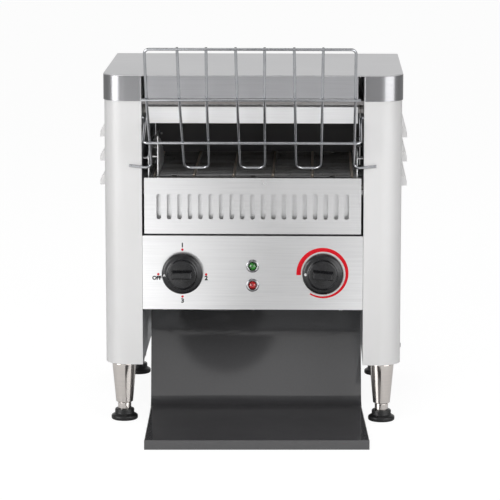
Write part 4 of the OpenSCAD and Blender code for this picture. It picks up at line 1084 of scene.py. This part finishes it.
def beltPlace(i):  # depth and height of cross wire i on the loop
    d = belt
    half, run, r = d["teeth"] // 2, d["run"], d["radius"]
    step = math.tau / d["teeth"]
    if i < run:
        return Vector((d["depth"] + i * d["pitch"], d["z"] + r))
    if i < run + half:
        a = (i - run) * step
        return Vector((d["depth"] + run * d["pitch"] + r * math.sin(a), d["z"] + r * math.cos(a)))
    if i < 2 * run + half:
        return Vector((d["depth"] + (2 * run + half - i) * d["pitch"], d["z"] - r))
    a = (i - 2 * run - half) * step
    return Vector((d["depth"] - r * math.sin(a), d["z"] - r * math.cos(a)))


def makeBelt(steel):
    d = belt
    hook = d["pitch"] + d["wire"] * 2
    half = d["hookHalf"]
    points = [Vector((-d["wide"] / 2, 0, 0))]
    for k in range(d["strands"]):
        x = (k - (d["strands"] - 1) / 2) * d["strandStep"]
        for dx, dy in ((-half, 0), (-half, hook), (half, hook), (half, 0)):
            points.append(Vector((x + dx, dy, 0)))
    points.append(Vector((d["wide"] / 2, 0, 0)))
    points = [p / 1000 for p in points]
    link = bendWire("beltLink", points, d["wire"], d["hookBend"], 8, 2)
    pick(link, "VERT", lambda v: v.co.y > (d["pitch"] - 4) / 1000)  # the hooks pass over the next wire
    bpy.ops.transform.translate(value=(0, 0, d["wire"] * d["hookLift"] / 1000))
    bpy.ops.object.mode_set(mode="OBJECT")
    total = 2 * d["run"] + d["teeth"]
    links = []
    for i in range(total):
        here, there = beltPlace(i), beltPlace((i + 1) % total)
        way = there - here
        copy = another(link)
        copy.rotation_euler = (math.atan2(way.y, way.x), 0, 0)
        copy.location = at(0, here.x, here.y)
        links.append(settle(copy, "link"))
    bpy.data.objects.remove(link)
    hand(together("conveyorBelt", *links), "frame", "belt_steel", steel, "conveyor_belt")
    print("belt done")


# Bread rack

rack = {"wire": 1.7, "sides": 12, "steps": 8, "top": (-134, 476.5), "bend": (-98.6, 414.7), "low": (3, 318),
        "loops": (-68.5, 0, 68.5), "topWide": 34, "lowWide": 30.6, "midShare": 0.55,
        "loopBends": [10, 9, 9, 10], "cross": 0.385, "crossX": 130,
        "outerX": 123.7, "restDepth": -0.9, "restX": (123.7, 129.7, 151), "restZ": (322, 318.6, 321),
        "outerBends": [6, 12, 4, 4], "armX": 131.45, "hinge": (9, 379), "hingeX": 140.5, "armBends": [6, 3]}


def between(a, b, share):
    return tuple(p + (q - p) * share for p, q in zip(a, b))


def makeRack(chrome):  # places in it are (depth, z), where a side or an x goes before them
    d = rack
    r = d["wire"]
    wires = []

    def wire(points, bends):
        wires.append(bendWire("wire", points, r, bends, d["sides"], d["steps"]))

    top = (d["top"][0] + r - 1, d["top"][1] + r)
    topHalf, lowHalf = d["topWide"] / 2, d["lowWide"] / 2
    midHalf = lowHalf + (topHalf - lowHalf) * d["midShare"]
    widths = ((topHalf, top), (midHalf, d["bend"]), (lowHalf, d["low"]))
    for x in d["loops"]:
        wire([at(x - half, *place) for half, place in widths]
             + [at(x + half, *place) for half, place in reversed(widths)], d["loopBends"])
    cross = between(d["low"], d["bend"], d["cross"])
    arm = (cross[0] - r, cross[1] - r)
    for side in (-1, 1):
        rest = [at(side * x, d["restDepth"], z) for x, z in zip(d["restX"], d["restZ"])]
        wire([at(0, *d["top"]), at(side * d["outerX"], *d["top"]), at(side * d["outerX"], *d["bend"]), *rest],
             d["outerBends"])
        wire([at(0, *arm), at(side * d["armX"], *arm), at(side * d["armX"], *d["hinge"]),
              at(side * d["hingeX"], *d["hinge"])], d["armBends"])
    bend = (d["bend"][0] - r, d["bend"][1] - r)
    wires.append(roundBar("crossWire", at(-d["crossX"], *bend), at(d["crossX"], *bend), r, 16))
    smooth(wires[-1], 50)
    hand(together("breadRack", *wires), "rack", "rack_chrome", chrome, "bread_rack")
    print("rack done")


# Tray

tray = {"reach": 146, "wide": 268.5, "taper": 9.5, "lip": 11.6, "bend": 101, "top": (144, 131), "radius": 14,
        "sheet": 1.2, "turn": 1.4, "x": 1.2, "floorTuck": 0.4, "flangeTuck": 0.8,
        "edge": 0.25, "lipEdge": 0.4, "flangeEdge": 0.2}


def makeTray(dark):
    d = tray
    h = d["sheet"] / 2
    side = d["wide"] / 2
    rear = d["bend"] - d["radius"] - 1
    line = ((-d["reach"] + d["floorTuck"], h), (rear, h), (d["bend"], h), d["top"])
    points = [at(-side, *place) for place in line]
    sheet = layPath("dischargeTray", points)
    roundBends(sheet, points, [0, d["radius"]], 10)
    pick(sheet, "EDGE")
    bpy.ops.mesh.extrude_region_move(TRANSFORM_OT_translate={"value": (d["wide"] / 1000, 0, 0)})
    for s in (-1, 1):  # the floor narrows towards its lip
        pick(sheet, "VERT", lambda v: v.co.y < points[0].y + 1e-5 and v.co.x * s > 0)
        bpy.ops.transform.translate(value=(-s * d["taper"] / 1000, 0, 0))
    bpy.ops.object.mode_set(mode="OBJECT")
    modify(sheet, "SOLIDIFY", thickness=d["sheet"] / 1000, offset=0)
    tidyNormals(sheet)
    softenEdges(sheet, d["edge"])
    front = block("lip", at(-side, -d["reach"], 0), at(side, -d["reach"] + d["sheet"], d["lip"]))
    softenEdges(front, d["lipEdge"], 3)
    flanges = []
    for s in (-1, 1):  # three-cornered flanges stand along the narrowing edges
        edge = layPath("flange", [at(s * (side - d["taper"] - h), -d["reach"] + h, h),
                                  at(s * (side - h), rear, h),
                                  at(s * (side - h), -d["reach"] + d["flangeTuck"], d["lip"])])
        pick(edge, "VERT")
        bpy.ops.mesh.edge_face_add()
        bpy.ops.object.mode_set(mode="OBJECT")
        modify(edge, "SOLIDIFY", thickness=d["sheet"] / 1000, offset=0)
        tidyNormals(edge)
        softenEdges(edge, d["flangeEdge"])
        flanges.append(edge)
    piece = together("dischargeTray", sheet, front, *flanges)
    piece.location.y = -at(0, d["top"][0], 0).y
    settle(piece, "dischargeTray")
    piece.rotation_euler.z = math.radians(d["turn"])  # it stands a little askew
    piece.location = at(d["x"], d["top"][0], 0)
    settle(piece, "dischargeTray")
    hand(piece, "tray", "tray_dark", dark, "discharge_tray")
    print("tray done")


# Legs and feet

leg = {"x": 160, "depths": (16, 290), "z": 22, "top": 72, "lowRadius": 10.5, "topRadius": 15,
       "hole": 5.1, "pin": 5, "pinHigh": 11}
foot = {"radius": 16.5, "disc": 5.6, "collar": 12, "high": 13.7, "neck": 8.25, "stud": 5, "studTop": 52}


def makeLegs(steel, rubber):
    d, f = leg, foot
    up = Vector((0, 0, 1))
    legs = []
    names = {(-1, 0): "front_left", (1, 0): "front_right", (-1, 1): "rear_left", (1, 1): "rear_right"}
    for (side, i), word in names.items():
        base = at(side * d["x"], d["depths"][i], 0)
        low, high = d["z"], d["top"]
        r, lowR, pin, pinTop = d["topRadius"], d["lowRadius"], d["pin"], high + d["pinHigh"]
        legs.append(turnProfile("leg", [
            (d["hole"], low + 0.2), (lowR - 1, low), (lowR, low + 0.8), (r - 0.1, high - 1),
            (r - 0.6, high - 0.2), (pin, high), (pin, pinTop - 0.8), (pin - 0.6, pinTop), (0, pinTop)],
            base, up))
        smooth(legs[-1], 40)
        r, disc, collar, high = f["radius"], f["disc"], f["collar"], f["high"]
        pad = turnProfile(word + "Foot", [
            (0, 0.4), (r - 3, 0.4), (r - 2.4, 0), (r - 1.4, 0), (r - 0.3, 0.8), (r, 1.9), (r, disc - 1.2),
            (r - 0.6, disc - 0.1), (r - 2.2, disc + 0.9), (collar + 0.7, disc + 1.7), (collar, disc + 2.9),
            (collar, high - 1.6), (collar - 0.5, high - 0.5), (collar - 1.6, high), (0, high)], base, up)
        smooth(pad, 40)
        r, stud, studTop = f["neck"], f["stud"], f["studTop"]
        neck = turnProfile(word + "Stud", [
            (0, high + 0.02), (r - 0.4, high + 0.02), (r, high + 0.5), (r, low - 0.9), (r - 0.4, low - 0.4),
            (stud, low - 0.4), (stud, studTop - 2), (stud - 0.6, studTop), (0, studTop)], base, up)
        smooth(neck, 40)
        hand(pad, "foot_" + word, "foot_rubber", rubber, word + "_foot")
        hand(neck, "foot_" + word, "leg_steel", steel)
    hand(together("legs", *legs), "frame", "leg_steel", steel, "legs")
    print("legs done")


# Screws

screw = {"head": [(0, -2.5), (1.5, -2.5), (1.5, 0), (3.8, 0), (3.8, 0.5), (3.3, 1.3), (2.2, 1.9), (0, 2)],
         "recess": (4, 0.8, 2), "recessFrom": 1.8, "sideX": 182.9, "sideDepths": (60, 236), "sideZ": 86,
         "rearX": 128, "rearDepth": 304.9, "rearZ": (132, 322)}


def makeScrew(place, way):  # its head looks along way and has a cross recess
    head = turnProfile("screw", screw["head"], place, way, 24)
    long, wide, deep = screw["recess"]
    across = Vector((0, 0, 1)) if abs(way.z) < 0.5 else Vector((0, 1, 0))
    middle = place + way * screw["recessFrom"] / 1000
    for arm in (across, way.cross(across)):
        size = Vector([abs(c) for c in arm * long + way.cross(arm) * wide + way * deep]) / 2000
        cutAway(head, block("recess", middle - size, middle + size))
    smooth(head, 35)
    return head


def makeScrews(steel):
    d = screw
    places = [(at(x, panel["screwDepth"], panel["screwZ"]), Vector((0, 0, -1))) for x in panel["screwX"]]
    for side in (-1, 1):
        outward, rearward = Vector((side, 0, 0)), Vector((0, 1, 0))
        places += [(at(side * d["sideX"], depth, d["sideZ"]), outward) for depth in d["sideDepths"]]
        places += [(at(side * d["rearX"], d["rearDepth"], z), rearward) for z in d["rearZ"]]
    screws = [makeScrew(place, way) for place, way in places]
    hand(together("caseScrews", *screws), "frame", "screw_steel", steel, "case_screws")
    print("screws done")


# Solids that keep their shape get a finish, and some get softer edges

def dress(material, *nodes):
    for node in nodes:
        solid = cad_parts[node]
        solid.data.materials.clear()
        solid.data.materials.append(material)


def makeSoftCopies(paint, shieldFinish, chassis, reflector, plastic):
    copies = {"bread_guides": ("breadGuides", "shield_steel", shieldFinish),
              "rear_panel": ("rearPanel", "casing_paint", paint),
              "control_box": ("controlBox", "chassis_steel", chassis),
              "rear_crossbar": ("rearCrossbar", "chassis_steel", chassis),
              "inner_chute": ("innerChute", "reflector_steel", reflector),
              "slot_shield": ("slotShield", "shield_steel", shieldFinish),
              "cord_gland": ("cordGland", "black_plastic", plastic),
              "fan_frame": ("fanFrame", "black_plastic", plastic)}
    for node, (name, slotName, finish) in copies.items():
        hand(likeNode(name, node), "frame", slotName, finish, node)
    print("soft copies done")


placeCamera()
lightStudio()
lightWorld()
layFloor()
layCards()
print("studio done")

panelFinish = panelSteel()
shieldFinish = shieldSteel()
chassisFinish = chassisSteel()
reflectorFinish = reflectorSteel()
makeCasings(casingPaint())
makeBands(bandSteel())
makeCover(coverSteel())
makeLip(lipSteel())
makeShield(shieldFinish)
makeControlPanel(panelFinish)
makeVentedPanel(panelFinish)
makeDial(redInk(), darkInk(), whiteInk())
makeKnobs(knobBlack(), whiteInk())
makeLamps(lampChrome(), greenGlass(), redGlass())
makeBelt(beltSteel())
makeRack(rackChrome())
makeTray(trayDark())
makeLegs(legSteel(), footRubber())
makeScrews(screwSteel())
makeSoftCopies(rearPaintShadedInside(), shieldFinish, chassisFinish, reflectorFinish, frameBlack())
dress(chassisFinish, "left_side_plate", "right_side_plate", "base_plates", "belt_support", "leg_nuts")
dress(reflectorFinish, "upper_reflector", "lower_reflector")
dress(quartzTube(), "upper_heaters", "lower_heaters")
dress(ceramic(), "heater_end_caps")
dress(wheelSteel(), "drive_sprockets", "idler_sprockets", "chain_wheel", "motor_chain_wheel")
dress(shaftSteel(), "drive_shaft", "idler_shaft", "motor_output_shaft", "element_spindle", "speed_spindle")
dress(bushBronze(), "shaft_bushes")
dress(chainSteel(), "drive_chain")
dress(motorPaint(), "drive_motor")
dress(gearboxCast(), "gearbox")
dress(fanBlack(), "fan_impeller")
dress(guardWire(), "fan_guard")
dress(switchPlastic(), "element_switch")
dress(bakelite(), "thermal_cutout")
dress(boardGreen(), "speed_control")
dress(lampPlastic(), "lamp_bodies")
dress(terminalPlastic(), "terminal_block")
print("finishes done")

bpy.context.scene.view_settings.view_transform = "Standard"
